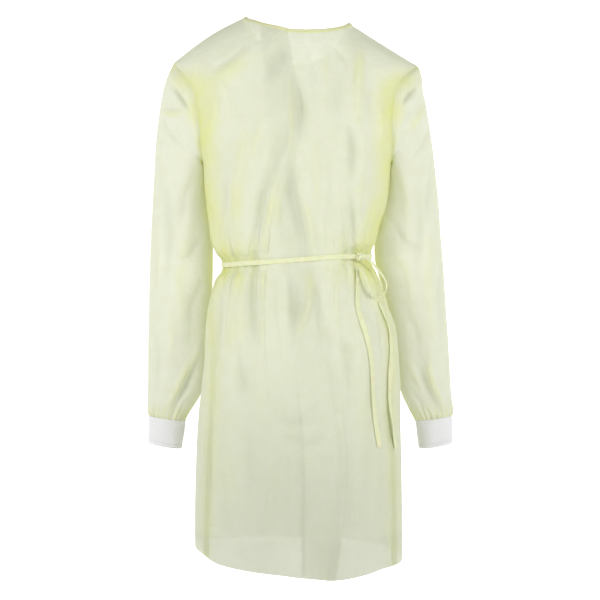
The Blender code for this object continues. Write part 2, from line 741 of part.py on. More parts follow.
def shell(name, outer, inner, closed, colour=CLOTH_YELLOW, roughness=CLOTH_ROUGHNESS):
    """A wall between two sets of rows. A row is a list of (place along the row, point)."""
    points = []
    faces = []

    def number(rows):
        numbered = []
        for row in rows:
            start = len(points)
            points.extend(point for _, point in row)
            ids = list(range(start, start + len(row)))
            at = [place for place, _ in row]
            if closed:
                ids.append(start)
                at.append(at[0] + 1.0)
            numbered.append((ids, at))
        return numbered

    outside = number(outer)
    inside = number(inner)
    for rows in (outside, inside):
        for k in range(len(rows) - 1):
            strip(faces, *rows[k], *rows[k + 1])
    strip(faces, *outside[0], *inside[0])
    strip(faces, *outside[-1], *inside[-1])
    if not closed:
        for end in (0, -1):
            outer_end = [ids[end] for ids, _ in outside]
            inner_end = [ids[end] for ids, _ in inside]
            outer_at = [k / (len(outer_end) - 1) for k in range(len(outer_end))]
            inner_at = [k / (len(inner_end) - 1) for k in range(len(inner_end))]
            strip(faces, outer_end, outer_at, inner_end, inner_at)
    return new_object(name, points, faces, colour, roughness)


def make_panel(name, face, rows):
    """A body panel from its hem to its neckline and shoulder seam."""
    outer = []
    inner = []
    over = name == "back_left"
    for row in rows:
        outer_row = []
        inner_row = []
        for share in row_shares(name, row):
            point, side = row.place(face, share)
            outer_row.append((share, cloth_point(point, side, face, over)))
            inner_row.append((share, cloth_point(point, side, face, over, WALL)))
        outer.append(outer_row)
        inner.append(inner_row)
    return shell(name, outer, inner, closed=False)


def seam_ring(side):
    """The sleeve's first ring: the panels' armhole edges, a seam's gap further out."""
    ring = []
    count = 2 * ARMHOLE_STEPS
    for k in range(count):
        face = BACK if k <= ARMHOLE_STEPS else FRONT
        steps = k if k <= ARMHOLE_STEPS else count - k
        rise = 1 - (1 - math.cos(math.pi * steps / ARMHOLE_STEPS)) / 2
        row = Row(rise=rise) if rise > 0 else Row(z=UNDERARM_Z)
        point, _ = row.place(face, side)
        below = Row(z=UNDERARM_Z - BELOW_SEAM) if steps == ARMHOLE_STEPS else row
        inside, _ = below.place(face, side if steps == ARMHOLE_STEPS else side * BESIDE_SEAM)
        if steps in (0, ARMHOLE_STEPS):
            point[1] = 0.0
        way = outward(point, side, face)
        ring.append((cloth_point(point, side, face, False), way, point - inside))
    moved = []
    for k in range(count):
        point, way, outside = ring[k]
        along = ring[(k + 1) % count][0] - ring[k - 1][0]
        away = np.cross(along, way)
        away *= math.copysign(SEAM_GAP, np.dot(away, outside)) / np.linalg.norm(away)
        moved.append((point + away, way))
    return moved


def sleeve_point(side, ring, turn):
    """A sleeve ring's plain point. turn runs from 0 at the outer line over the back to the inner line."""
    outer_x, inner_x = (ring[0], ring[1]) if side == LEFT else (ring[2], ring[3])
    outer_z, inner_z, middle_y, half_depth = ring[4:]
    across = math.copysign(abs(math.cos(turn)) ** (2 / ARM_SQUARENESS), math.cos(turn))
    deep = math.copysign(abs(math.sin(turn)) ** (2 / ARM_SQUARENESS), math.sin(turn))
    x = (outer_x + inner_x) / 2 + (outer_x - inner_x) / 2 * across
    z = (outer_z + inner_z) / 2 + (outer_z - inner_z) / 2 * across
    return np.array((side * x, middle_y - half_depth * deep, z))


def sleeve_rings(side):
    """Rings of (turn, point) from the armhole to the cuff."""
    rings = [[(k / (2 * ARMHOLE_STEPS), p) for k, (p, _) in enumerate(seam_ring(side))]]
    chord_start, chord_end = rings[0][0][1], rings[0][ARMHOLE_STEPS][1]
    for number, ring in enumerate(RINGS):
        fine = number >= len(RINGS) - FINE_RINGS
        count = 4 * CUFF_GATHERS if fine else 2 * ARMHOLE_STEPS
        made = []
        for k in range(count):
            turn = 2 * math.pi * k / count
            point = sleeve_point(side, ring, turn)
            if number < len(CAP_BULGES):
                on_chord = (chord_start + chord_end) / 2 + (chord_start - chord_end) / 2 * math.cos(turn)
                seam = rings[0][k][1]
                point[0] += (seam[0] - on_chord[0]) * CAP_BULGES[number]
            made.append((k / count, point))
        rings.append(made)
    return rings


def ring_normals(rings):
    """Outward directions of a tube's points, from their neighbours on the rings."""
    ways = []
    for number, ring in enumerate(rings):
        before = rings[max(number - 1, 0)]
        after = rings[min(number + 1, len(rings) - 1)]
        made = []
        for k, (at, _) in enumerate(ring):
            round_it = ring[(k + 1) % len(ring)][1] - ring[k - 1][1]
            down = ring_at(after, at) - ring_at(before, at)
            way = np.cross(round_it, down)
            made.append(way / np.linalg.norm(way))
        ways.append(made)
    return ways


def ring_at(ring, at):
    """A ring's point at a place between its points."""
    count = len(ring)
    first = int(at * count) % count
    share = at * count - int(at * count)
    return ring[first][1] * (1 - share) + ring[(first + 1) % count][1] * share


def make_sleeve(name, side):
    rings = sleeve_rings(side)
    ways = ring_normals(rings)
    if np.dot(ways[len(RINGS) // 2][0], (side, 0, 0)) < 0:
        ways = [[-way for way in made] for made in ways]
    ways[0] = [way + SEAM_LEAN * tube for (_, way), tube in zip(seam_ring(side), ways[0])]
    ways[0] = [way / np.linalg.norm(way) for way in ways[0]]
    last = rings[-1]
    axis = np.cross(last[CUFF_GATHERS][1] - last[0][1], last[2 * CUFF_GATHERS][1] - last[0][1])
    axis /= np.linalg.norm(axis)
    flat = []
    for way in ways[-1]:
        level = way - axis * np.dot(way, axis)
        flat.append(level / np.linalg.norm(level))
    ways[-1] = flat
    outer = []
    inner = []
    for number, ring in enumerate(rings):
        middle_y = 0.0 if number == 0 else RINGS[number - 1][6]
        from_end = len(rings) - 1 - number
        outer_row = []
        inner_row = []
        for k, (at, point) in enumerate(ring):
            raised = 0.0
            if 1 < number < len(rings) - 1:
                facing = float(ease((middle_y - point[1]) / FACING_DEPTH))
                for row in SLEEVE_FOLDS[side]:
                    raised += facing * fold_raise(point[0], point[2], *row)
                if 0 < from_end < FINE_RINGS:
                    wave = math.cos(2 * math.pi * k / 4)
                    raised += CUFF_GATHER_DEPTH * wave * (FINE_RINGS - from_end) / FINE_RINGS
            outer_row.append((at, point + ways[number][k] * raised))
            inner_row.append((at, point + ways[number][k] * (raised - WALL)))
        outer.append(outer_row)
        inner.append(inner_row)
    return shell(name, outer, inner, closed=True)


def cuff_ring(side, share, count, ribs, moved):
    """A ring of the cuff at a share of its length, moved outwards, with ribs raised where asked."""
    top = CUFF_TOP[side]
    end = CUFF_END[side]
    outer_x, outer_z, inner_x, inner_z = [a + (b - a) * share for a, b in zip(top, end)]
    y = CUFF_Y[0] + (CUFF_Y[1] - CUFF_Y[0]) * share
    deep = CUFF_HALF_DEPTH[0] + (CUFF_HALF_DEPTH[1] - CUFF_HALF_DEPTH[0]) * share
    ring = []
    for k in range(count):
        turn = 2 * math.pi * k / count
        raised = moved + (RIB_RAISE if ribs and k % 2 else 0.0)
        across = math.copysign(abs(math.cos(turn)) ** (2 / ARM_SQUARENESS), math.cos(turn))
        depth = math.copysign(abs(math.sin(turn)) ** (2 / ARM_SQUARENESS), math.sin(turn))
        half_x = (outer_x - inner_x) / 2 + raised
        half_z = (outer_z - inner_z) / 2 * half_x / ((outer_x - inner_x) / 2)
        ring.append(
            (
                k / count,
                np.array(
                    (
                        side * ((outer_x + inner_x) / 2 + half_x * across),
                        y - (deep + raised) * depth,
                        (outer_z + inner_z) / 2 + half_z * across,
                    )
                ),
            )
        )
    return ring


def make_cuff(name, side):
    outer_steps = 2 * CUFF_RIBS
    outer = [cuff_ring(side, share, outer_steps, ribs, raised) for share, raised, ribs in CUFF_PROFILE]
    inner = [cuff_ring(side, share, CUFF_INSIDE_STEPS, False, -CUFF_WALL) for share in CUFF_INSIDE]
    return shell(name, outer, inner, True, CUFF_WHITE, KNIT_ROUGHNESS)


def band_tube(name, sections, closed, colour=TIE_YELLOW):
    """A solid through sections of equal numbers of points, with quad or capped ends."""
    points = [p for section in sections for p in section]
    size = len(sections[0])
    faces = []
    runs = len(sections) if closed else len(sections) - 1
    for k in range(runs):
        here = k * size
        there = (k + 1) % len(sections) * size
        for j in range(size):
            n = (j + 1) % size
            faces.append((here + j, here + n, there + n))
            faces.append((here + j, there + n, there + j))
    if not closed:
        for start in (0, (len(sections) - 1) * size):
            for j in range(size // 2 - 1):
                faces.append((start + j, start + j + 1, start + size - 2 - j, start + size - 1 - j))
    return new_object(name, points, faces, colour, CLOTH_ROUGHNESS)


def neck_stations():
    """Places along the neckline, from the lapping free edge round the front to the other one."""
    top = Row(rise=1.0)
    over = [s for s in row_shares("back_left", top) if abs(s) < NECK_SHARE - 1e-6]
    front = [s for s in row_shares("front", top) if abs(s) < NECK_SHARE + 1e-6]
    under = [s for s in row_shares("back_right", top) if abs(s) < NECK_SHARE - 1e-6]
    stations = [(BACK, share, True) for share in reversed(over)]
    stations += [(FRONT, share, False) for share in front]
    return stations + [(BACK, share, False) for share in reversed(under)]


def make_binding():
    """The strip that finishes the whole neckline. It stands on the panels' top edges, a little thicker."""
    top = Row(rise=1.0)
    places = []
    for face, share, over in neck_stations():
        point, side = top.place(face, share)
        way = outward(point, side, face)
        if abs(share) > NECK_SHARE - 1e-6:
            point[1] = 0.0
        places.append((cloth_point(point, side, face, over), way))
    sections = []
    for k, (point, way) in enumerate(places):
        along = places[min(k + 1, len(places) - 1)][0] - places[max(k - 1, 0)][0]
        up = np.cross(way, along)
        up *= math.copysign(1.0, up[2]) / np.linalg.norm(up)
        low = point + up * SEAM_GAP
        high = point + up * BINDING_WIDTH
        out = way * BINDING_RAISE
        inward = way * (WALL + BINDING_RAISE)
        rounding = up * BINDING_ROUND
        sections.append(
            [
                low + out,
                high - rounding + out,
                high + out - way * BINDING_ROUND,
                high - inward + way * BINDING_ROUND,
                high - rounding - inward,
                low - inward,
            ]
        )
    return band_tube("neck_binding", sections, False, BINDING_YELLOW)


def belt_stand_off(point):
    """How far the belt lies off the plain body: on the cloth, and over the lap where there is one."""
    x, y, z = point
    if y > 0:
        return TIE_GAP
    rise = ease((x - float(read(UNDER_EDGE, z)) + 2 * LAP_RAMP + LAP_AHEAD) / LAP_RAMP)
    fall = 1 - ease((x - float(read(OVER_EDGE, z)) - LAP_PAST) / LAP_RAMP)
    return TIE_GAP + float(read(LAPS, z) * rise * fall)


def belt_place(turn, height):
    """A place on the body under the belt, at a height above the belt's middle, and its outward direction."""
    side = LEFT if turn < 0 else RIGHT
    z = float(belt_z(turn)) + height
    point = level_point(turn, z, side)
    return point, outward(point, side, BACK if point[1] < 0 else FRONT)


def make_belt():
    sections = []
    for k in range(TIE_STEPS):
        turn = -180 + 360 * (k + 0.5) / TIE_STEPS
        low, low_way = belt_place(turn, -TIE_WIDTH / 2)
        high, high_way = belt_place(turn, TIE_WIDTH / 2)
        low_off = belt_stand_off(low)
        high_off = belt_stand_off(high)
        sections.append(
            [
                low + low_way * low_off,
                high + high_way * high_off,
                high + high_way * (high_off + TIE_THICK),
                low + low_way * (low_off + TIE_THICK),
            ]
        )
    return band_tube("waist_tie", sections, closed=True)


def make_knot():
    """The knot: a rounded lump with a crossing turn, flat where it lies on the belt."""
    low, way = belt_place(KNOT_TURN, 0.0)
    base = low + way * (belt_stand_off(low) + TIE_THICK + KNOT_SEAT)
    across = np.cross(np.array((0, 0, 1.0)), way)
    across /= np.linalg.norm(across)
    up = np.cross(way, across)
    wide, deep, tall = KNOT_SIZE
    first_pitch, pitch_count = KNOT_PITCH
    rings = []
    for k in range(KNOT_RINGS):
        pitch = math.pi * (k + first_pitch) / pitch_count
        ring = []
        for j in range(KNOT_POINTS):
            turn = 2 * math.pi * j / KNOT_POINTS
            lump = 1 + sum(height * math.cos(number * turn + lean * pitch) for height, number, lean in KNOT_LUMPS)
            side = wide * math.sin(pitch) * math.cos(turn) * lump
            out = max(deep * math.sin(pitch) * math.sin(turn) * lump + KNOT_FLAT * deep, 0.0)
            ring.append(base + across * side + way * out + up * tall * math.cos(pitch))
        rings.append(ring)
    points = [p for ring in rings for p in ring]
    faces = []
    for k in range(KNOT_RINGS - 1):
        here = k * KNOT_POINTS
        there = here + KNOT_POINTS
        for j in range(KNOT_POINTS):
            n = (j + 1) % KNOT_POINTS
            faces.append((here + j, here + n, there + n))
            faces.append((here + j, there + n, there + j))
    for start in (0, (KNOT_RINGS - 1) * KNOT_POINTS):
        points.append(sum(points[start : start + KNOT_POINTS]) / KNOT_POINTS)
        for j in range(KNOT_POINTS):
            faces.append((start + j, start + (j + 1) % KNOT_POINTS, len(points) - 1))
    return new_object("tie_knot", points, faces, TIE_YELLOW, CLOTH_ROUGHNESS)


def smooth_route(points, step):
    """Points a step apart on a smooth curve through a route's own points."""
    points = [np.array(p, float) for p in points]
    at = [0.0]
    for k in range(len(points) - 1):
        at.append(at[-1] + float(np.linalg.norm(points[k + 1] - points[k])))
    count = max(4, round(at[-1] / step))
    places = np.linspace(0, at[-1], count + 1)
    return np.stack([smooth_lookup(at, [p[i] for p in points], places) for i in range(3)], axis=1)


def ribbon(name, route, widths):
    """A flat strip along a route. widths gives the direction of its width at each point."""
    sections = []
    for k, point in enumerate(route):
        along = route[min(k + 1, len(route) - 1)] - route[max(k - 1, 0)]
        along /= np.linalg.norm(along)
        wide = widths[k] - along * np.dot(widths[k], along)
        wide /= np.linalg.norm(wide)
        thick = np.cross(along, wide)
        half = wide * TIE_WIDTH / 2
        skin = thick * TIE_THICK / 2
        sections.append([point - half - skin, point + half - skin, point + half + skin, point - half + skin])
    return band_tube(name, sections, closed=False)


def make_loop():
    route = smooth_route(LOOP_PATH, LOOP_STEP)
    widths = [np.array(LOOP_WIDTH_WAY) for _ in route]
    return ribbon("tie_loop", route, widths)


def make_tie_end(name):
    """A free end of the belt, hanging on the skirt."""
    places = smooth_route([(x, 0.0, z) for x, z in TIE_ENDS[name]], END_STEP)
    route = []
    widths = []
    for x, _, z in places:
        off = 0.0
        for near_x in (x - TIE_WIDTH / 2, x, x + TIE_WIDTH / 2):
            point = np.array((near_x, -depth_under(near_x, z, RIGHT, BACK), z))
            off = max(off, cloth_raise(point))
        point = np.array((x, -depth_under(x, z, RIGHT, BACK), z))
        way = outward(point, RIGHT, BACK)
        route.append(point + way * (off + END_CLEAR + TIE_THICK / 2))
        widths.append(np.cross(way, np.array((0, 0, 1.0))))
    return ribbon(name, np.array(route), widths)


body_rows = panel_rows()
make_panel("front", FRONT, body_rows)
make_panel("back_left", BACK, body_rows)
make_panel("back_right", BACK, body_rows)
make_sleeve("sleeve_left", LEFT)
make_sleeve("sleeve_right", RIGHT)
make_cuff("cuff_left", LEFT)
make_cuff("cuff_right", RIGHT)
make_binding()
make_belt()
make_knot()
make_loop()
for end_name in TIE_ENDS:
    make_tie_end(end_name)
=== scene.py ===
# Isolation gown of thin yellow nonwoven cloth, seen from its lapped back, filled out as when worn.
import math

import bpy
import numpy as np
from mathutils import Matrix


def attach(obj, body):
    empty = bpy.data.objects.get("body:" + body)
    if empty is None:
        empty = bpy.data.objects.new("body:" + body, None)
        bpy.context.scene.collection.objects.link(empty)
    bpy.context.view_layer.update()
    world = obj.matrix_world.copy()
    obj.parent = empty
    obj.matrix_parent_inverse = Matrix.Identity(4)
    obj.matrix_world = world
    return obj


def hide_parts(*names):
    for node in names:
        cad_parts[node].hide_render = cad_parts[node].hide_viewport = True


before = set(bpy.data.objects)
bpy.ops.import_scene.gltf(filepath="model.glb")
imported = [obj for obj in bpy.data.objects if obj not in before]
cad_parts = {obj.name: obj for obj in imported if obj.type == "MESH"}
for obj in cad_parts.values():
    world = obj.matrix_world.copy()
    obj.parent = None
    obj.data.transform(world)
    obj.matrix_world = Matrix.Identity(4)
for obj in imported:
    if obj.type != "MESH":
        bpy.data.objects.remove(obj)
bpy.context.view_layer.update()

# Studio
# A round pale floor that rises all round into a plain backdrop, brightest behind the gown, with open sky
# light and two soft lamps. The camera stands in front of the lapped back, a little below the chest.
FLOOR_Z = -1.62
FLOOR_RADIUS = 3.6
FLOOR_RINGS = 4
CORNER_RADIUS = 1.0
CORNER_RINGS = 12
STUDIO_TOP = 3.4
STUDIO_ROUND = 72
STUDIO_GREY = 0.70
FLOOR_GLOW = 0.13
SKY_LIGHT = 0.22
# Where the glow rises. Columns: start, end, its strength there
BEHIND_GLOW = (-0.2, 1.9, 0.85)
ROUND_GLOW = (3.0, 4.4, 0.23)


class Finish:
    """A material that is built up node by node."""

    def __init__(self, name):
        self.material = bpy.data.materials.new(name)
        self.material.use_nodes = True
        self.nodes = self.material.node_tree.nodes
        self.surface = self.nodes["Principled BSDF"]
        self.place = self.add("TexCoord", {}, "Object")

    def feed(self, node, inputs):
        """Joins a node's inputs to other nodes' outputs, or sets their values."""
        for socket, value in inputs.items():
            if isinstance(value, bpy.types.NodeSocket):
                self.material.node_tree.links.new(value, node.inputs[socket])
            else:
                node.inputs[socket].default_value = value

    def add(self, kind, inputs, output, **settings):
        node = self.nodes.new("ShaderNode" + kind)
        for setting, value in settings.items():
            setattr(node, setting, value)
        self.feed(node, inputs)
        return node.outputs[output]

    def maths(self, operation, *values):
        return self.add("Math", dict(enumerate(values)), "Value", operation=operation)

    def noise(self, scale, detail, roughness=0.5, distortion=0.0):
        inputs = {"Vector": self.place, "Scale": scale, "Detail": detail}
        return self.add("TexNoise", {**inputs, "Roughness": roughness, "Distortion": distortion}, "Fac")

    def shades(self, amount, low, dark, high, pale):
        """A colour that goes from dark at an amount of low to pale at an amount of high."""
        ramp = self.nodes.new("ShaderNodeValToRGB")
        self.feed(ramp, {"Fac": amount})
        for stop, at, colour in zip(ramp.color_ramp.elements, (low, high), (dark, pale)):
            stop.position = at
            stop.color = (*colour, 1)
        return ramp.outputs["Color"]

    def range(self, amount, low, high, start=0.0, end=1.0, curve="LINEAR"):
        inputs = {"Value": amount, "From Min": start, "From Max": end, "To Min": low, "To Max": high}
        return self.add("MapRange", inputs, "Result", interpolation_type=curve)

    def bump(self, height, strength, distance, over=None):
        """Relief of the surface, over a larger relief where there is one."""
        inputs = {"Height": height, "Strength": strength, "Distance": distance}
        return self.add("Bump", inputs if over is None else {**inputs, "Normal": over}, "Normal")


def new_object(name, points, faces, material, uv=None):
    """A smooth mesh from points and faces. uv is the map of its cut, a pair for each face corner."""
    mesh = bpy.data.meshes.new(name)
    mesh.from_pydata(points, [], faces)
    if uv is not None:
        mesh.uv_layers.new(name="cut").data.foreach_set("uv", np.array(uv, np.float32).reshape(-1))
    mesh.shade_smooth()
    mesh.materials.append(material)
    made = bpy.data.objects.new(name, mesh)
    bpy.context.scene.collection.objects.link(made)
    return made


def studio_paint():
    """Matt pale paint, lit a little from inside so that the backdrop shows no edge."""
    paint = Finish("studio_paint")
    depth = paint.add("SeparateXYZ", {"Vector": paint.place}, "Y")
    level = paint.add("VectorMath", {0: paint.place, 1: (1, 1, 0)}, "Vector", operation="MULTIPLY")
    reach = paint.add("VectorMath", {0: level}, "Value", operation="LENGTH")
    glows = [
        paint.range(source, FLOOR_GLOW, glow, start, end, "SMOOTHSTEP")
        for source, (start, end, glow) in ((depth, BEHIND_GLOW), (reach, ROUND_GLOW))
    ]
    coat = {"Base Color": (STUDIO_GREY, STUDIO_GREY, STUDIO_GREY, 1), "Roughness": 0.9}
    light = {"Emission Color": (1, 1, 1, 1), "Emission Strength": paint.maths("MAXIMUM", *glows)}
    paint.feed(paint.surface, {**coat, **light})
    return paint.material


def studio_floor():
    profile = [(FLOOR_RADIUS * k / FLOOR_RINGS, FLOOR_Z) for k in range(1, FLOOR_RINGS + 1)]
    for k in range(1, CORNER_RINGS + 1):
        turn = math.pi / 2 * k / CORNER_RINGS
        rise = CORNER_RADIUS * (1 - math.cos(turn))
        profile.append((FLOOR_RADIUS + CORNER_RADIUS * math.sin(turn), FLOOR_Z + rise))
    profile.append((FLOOR_RADIUS + CORNER_RADIUS, STUDIO_TOP))
    turns = [2 * math.pi * k / STUDIO_ROUND for k in range(STUDIO_ROUND)]
    points = [(reach * math.cos(t), reach * math.sin(t), z) for reach, z in profile for t in turns]
    faces = [tuple(range(STUDIO_ROUND))]
    for row in range(len(profile) - 1):
        inner, outer = row * STUDIO_ROUND, (row + 1) * STUDIO_ROUND
        for k in range(STUDIO_ROUND):
            beside = (k + 1) % STUDIO_ROUND
            faces.append((inner + k, outer + k, outer + beside, inner + beside))
    return new_object("studio_floor", points, faces, studio_paint())


studio_floor()

world = bpy.context.scene.world or bpy.data.worlds.new("studio_air")
bpy.context.scene.world = world
world.use_nodes = True
world.node_tree.nodes["Background"].inputs["Color"].default_value = (1, 1, 1, 1)
world.node_tree.nodes["Background"].inputs["Strength"].default_value = SKY_LIGHT


def soft_light(name, place, aim, size, power):
    lamp = bpy.data.lights.new(name, "AREA")
    lamp.shape = "DISK"
    lamp.size = size
    lamp.energy = power
    made = bpy.data.objects.new(name, lamp)
    bpy.context.scene.collection.objects.link(made)
    way = np.array(aim, float) - np.array(place, float)
    made.location = place
    made.rotation_euler = (math.atan2(math.hypot(way[0], way[1]), -way[2]), 0, math.atan2(-way[0], way[1]))


CHEST = (0, 0, -0.30)
soft_light("key", (-1.40, -1.35, -0.12), CHEST, 0.5, 12.2)
soft_light("side", (1.35, -1.35, -0.16), CHEST, 0.6, 11.2)

camera = bpy.data.objects.new("camera", bpy.data.cameras.new("camera"))
bpy.context.scene.collection.objects.link(camera)
camera.location = (0, -2.6, -0.400)
camera.rotation_euler = (math.radians(90 - 2.38), 0, 0)
camera.data.lens = 78.2
camera.data.sensor_width = 36
camera.data.shift_x = 0.005
camera.data.shift_y = -0.040
bpy.context.scene.camera = camera
bpy.context.scene.view_settings.view_transform = "Standard"

# Body form
# The gown's body is one smooth form, cut into a front and two lapping back panels. Its tables are the sizes
# of the cut, in metres: shoulders, neckline, armholes, half widths and depths down the body, hem and edges.
LEFT, RIGHT = -1, 1
BACK, FRONT = -1, 1
SQUARENESS = 2.35
# Columns: neck_x, neck_z, tip_x, tip_z, bow
SHOULDERS = {
    LEFT: (0.105, 0.0035, 0.244, -0.086, 0.008),
    RIGHT: (0.107, -0.0100, 0.237, -0.091, -0.001),
}
NECK_DIP = {BACK: 0.030, FRONT: 0.079}
NECK_ROUND = {BACK: 0.6, FRONT: 0.75}
NECK_SHARE = 0.42
UNDERARM_Z = -0.285
ARMHOLE_DEPTH = {BACK: 0.070, FRONT: 0.068}
SEAM_TURN = {LEFT: 65.0, RIGHT: 69.0}
SEAM_TURN_REACH = 0.5
# Columns: drop from the shoulder tip to the underarm, half width on the left, on the right
ARMHOLES = (
    (0, 0.244, 0.237), (0.1, 0.226, 0.216), (0.2, 0.211, 0.2), (0.35, 0.199, 0.19), (0.6, 0.19, 0.185),
    (0.85, 0.187, 0.185), (1, 0.186, 0.186),
)
# Half depths of the body from its middle plane. Columns: z, to the back, to the front
DEPTHS = (
    (0.012, 0, 0), (0, 0.036, 0.034), (-0.01, 0.048, 0.047), (-0.03, 0.067, 0.069), (-0.065, 0.085, 0.091),
    (-0.12, 0.1, 0.108), (-0.2, 0.114, 0.119), (-0.285, 0.118, 0.12), (-0.366, 0.11, 0.112),
    (-0.44, 0.099, 0.102), (-0.474, 0.094, 0.097), (-0.516, 0.102, 0.103), (-0.57, 0.112, 0.111),
    (-0.676, 0.124, 0.122), (-0.8, 0.132, 0.13), (-0.92, 0.137, 0.135), (-1.08, 0.142, 0.14),
)
# Half widths of the body below the underarms. Columns: z, left, right
WIDTHS = (
    (-0.285, 0.186, 0.186), (-0.33, 0.184, 0.183), (-0.366, 0.18, 0.177), (-0.406, 0.174, 0.162),
    (-0.44, 0.169, 0.153), (-0.462, 0.16, 0.148), (-0.474, 0.152, 0.147), (-0.486, 0.148, 0.149),
    (-0.5, 0.151, 0.155), (-0.516, 0.161, 0.162), (-0.54, 0.169, 0.169), (-0.57, 0.176, 0.179),
    (-0.616, 0.182, 0.196), (-0.676, 0.185, 0.203), (-0.72, 0.19, 0.206), (-0.8, 0.198, 0.207),
    (-0.876, 0.202, 0.209), (-1.01, 0.205, 0.211), (-1.08, 0.204, 0.211),
)
# Hem height all round. Columns: turn in degrees from the centre back, z
HEM_Z = -1.070
HEM_FREE_Z = -0.82
HEM = (
    (-180, -1.068), (-125, -1.062), (-90, -1.046), (-72, -1.048), (-55, -1.062), (20, -1.0825),
    (27, -1.085), (33, -1.0845), (48, -1.079), (62, -1.072), (90, -1.074), (125, -1.071), (180, -1.068),
)
# Free edges of the two back panels. Columns: z, x
OVER_EDGE = (
    (0, -0.018), (-0.021, -0.018), (-0.16, 0), (-0.221, 0.006), (-0.3, -0.005), (-0.395, 0.011),
    (-0.467, 0.023), (-0.55, 0.045), (-0.665, 0.07), (-0.78, 0.086), (-0.85, 0.092), (-0.97, 0.088),
    (-1.079, 0.074),
)
UNDER_EDGE = (
    (0, -0.068), (-0.16, -0.06), (-0.3, -0.045), (-0.467, -0.03), (-0.6, -0.012), (-0.75, 0.002),
    (-0.86, 0.0095), (-1.079, 0.0095),
)
# How far the left back panel stands off the right one. Columns: z, lap
LAPS = (
    (0, 0.0046), (-0.2, 0.0044), (-0.4, 0.0036), (-0.474, 0.0032), (-0.56, 0.0036), (-0.8, 0.0044),
    (-1.079, 0.005),
)
LAP_RAMP = 0.022
LAP_AHEAD = 0.014
# Columns: turn in degrees from the centre back, z of the belt
BELT_LINE = (
    (-180, -0.48), (-90, -0.486), (-45, -0.479), (0, -0.473), (50, -0.467), (90, -0.47), (180, -0.48),
)
BELT_Z = -0.477
BELT_ROWS = 0.020
BELT_FREE = 0.110


def between(values, slopes, i, t, step):
    """Values on a cubic from row i to the next one, at shares t of a step."""
    start = (1 + 2 * t) * (1 - t) ** 2 * values[i] + t * (1 - t) ** 2 * step * slopes[i]
    return start + t**2 * (3 - 2 * t) * values[i + 1] - t**2 * (1 - t) * step * slopes[i + 1]


def smooth_lookup(keys, values, at):
    """Reads a table smoothly, with a cubic through its rows that never overshoots them."""
    order = np.argsort(keys)
    x = np.array(keys, float)[order]
    y = np.array(values, float)[order]
    at = np.clip(np.asarray(at, float), x[0], x[-1])
    step = np.diff(x)
    slope = np.diff(y) / step
    tangent = np.zeros(len(x))
    tangent[0] = slope[0]
    tangent[-1] = slope[-1]
    same_way = slope[:-1] * slope[1:] > 0
    harmonic = 2 * slope[:-1] * slope[1:] / np.where(same_way, slope[:-1] + slope[1:], 1.0)
    tangent[1:-1] = np.where(same_way, harmonic, 0.0)
    i = np.clip(np.searchsorted(x, at) - 1, 0, len(step) - 1)
    return between(y, tangent, i, (at - x[i]) / step[i], step[i])


def read(table, at, number=1):
    return smooth_lookup([row[0] for row in table], [row[number] for row in table], at)


def ease(share):
    share = np.clip(share, 0, 1)
    return share * share * (3 - 2 * share)


def bell(share):
    return np.exp(-(share**2))


def unit(ways):
    return ways / np.linalg.norm(ways, axis=-1, keepdims=True)


def run_along(points):
    """Distance along a line at each of its points."""
    return np.concatenate([[0], np.cumsum(np.linalg.norm(np.diff(points, axis=0), axis=-1))])


def by_side(side, left, right):
    return np.where(np.asarray(side) < 0, left, right)


def side_of(places):
    return np.where(places < 0, LEFT, RIGHT)


def depth_at(z, face):
    return read(DEPTHS, z, 1 if face == BACK else 2)


def shoulder_line(side, share):
    neck_x, neck_z, tip_x, tip_z, bow = SHOULDERS[side]
    return neck_x + (tip_x - neck_x) * share, neck_z + (tip_z - neck_z) * share + bow * np.sin(np.pi * share)


def armhole_seam(side, face, share):
    """The armhole seam from the shoulder tip at 0 to the underarm at 1: half width, depth and height."""
    tip_z = SHOULDERS[side][3]
    drop = (1 - np.cos(np.pi * share)) / 2
    x = read(ARMHOLES, drop, 1 if side == LEFT else 2)
    return x, ARMHOLE_DEPTH[face] * np.sin(np.pi * share), tip_z + (UNDERARM_Z - tip_z) * drop


def one_half_width(z, side, face):
    tip_z = SHOULDERS[side][3]
    share = np.linspace(0, 1, 161)
    line_x, line_z = shoulder_line(side, share)
    above = np.interp(-z, -line_z, line_x)
    seam_x, seam_y, seam_z = armhole_seam(side, face, share)
    deep = (seam_y / depth_at(seam_z, face)) ** SQUARENESS
    beside = np.interp(-z, -seam_z, seam_x / (1 - deep) ** (1 / SQUARENESS))
    below = read(WIDTHS, z, 1 if side == LEFT else 2)
    return np.where(z > tip_z, above, np.where(z > UNDERARM_Z, beside, below))


def half_width(z, side, face):
    z = np.asarray(z, float)
    return by_side(side, one_half_width(z, LEFT, face), one_half_width(z, RIGHT, face))


def level_point(turn, z, side):
    """The plain body below the underarms, at a turn in degrees from the centre back."""
    across_way = np.abs(np.sin(np.radians(turn)))
    along_way = np.cos(np.radians(turn))
    deep = np.where(along_way > 0, depth_at(z, BACK), depth_at(z, FRONT))
    across = across_way / half_width(z, side, BACK)
    along = np.abs(along_way) / deep
    reach = (across**SQUARENESS + along**SQUARENESS) ** (-1 / SQUARENESS)
    return np.stack([side * reach * across_way, -reach * along_way, z], axis=-1)


def depth_under(x, z, side, face):
    inside = np.clip(1 - (np.abs(x) / half_width(z, side, face)) ** SQUARENESS, 0, 1)
    return depth_at(z, face) * inside ** (1 / SQUARENESS)


def row_height(z, turn):
    """Rows near the hem take its shape, and rows near the belt take the belt's."""
    hem_near = 1 - ease((z - HEM_Z) / (HEM_FREE_Z - HEM_Z))
    belt_near = 1 - ease((np.abs(z - BELT_Z) - BELT_ROWS) / BELT_FREE)
    z = z + hem_near * (read(HEM, turn) - HEM_Z)
    return z + belt_near * (read(BELT_LINE, turn) - BELT_Z)


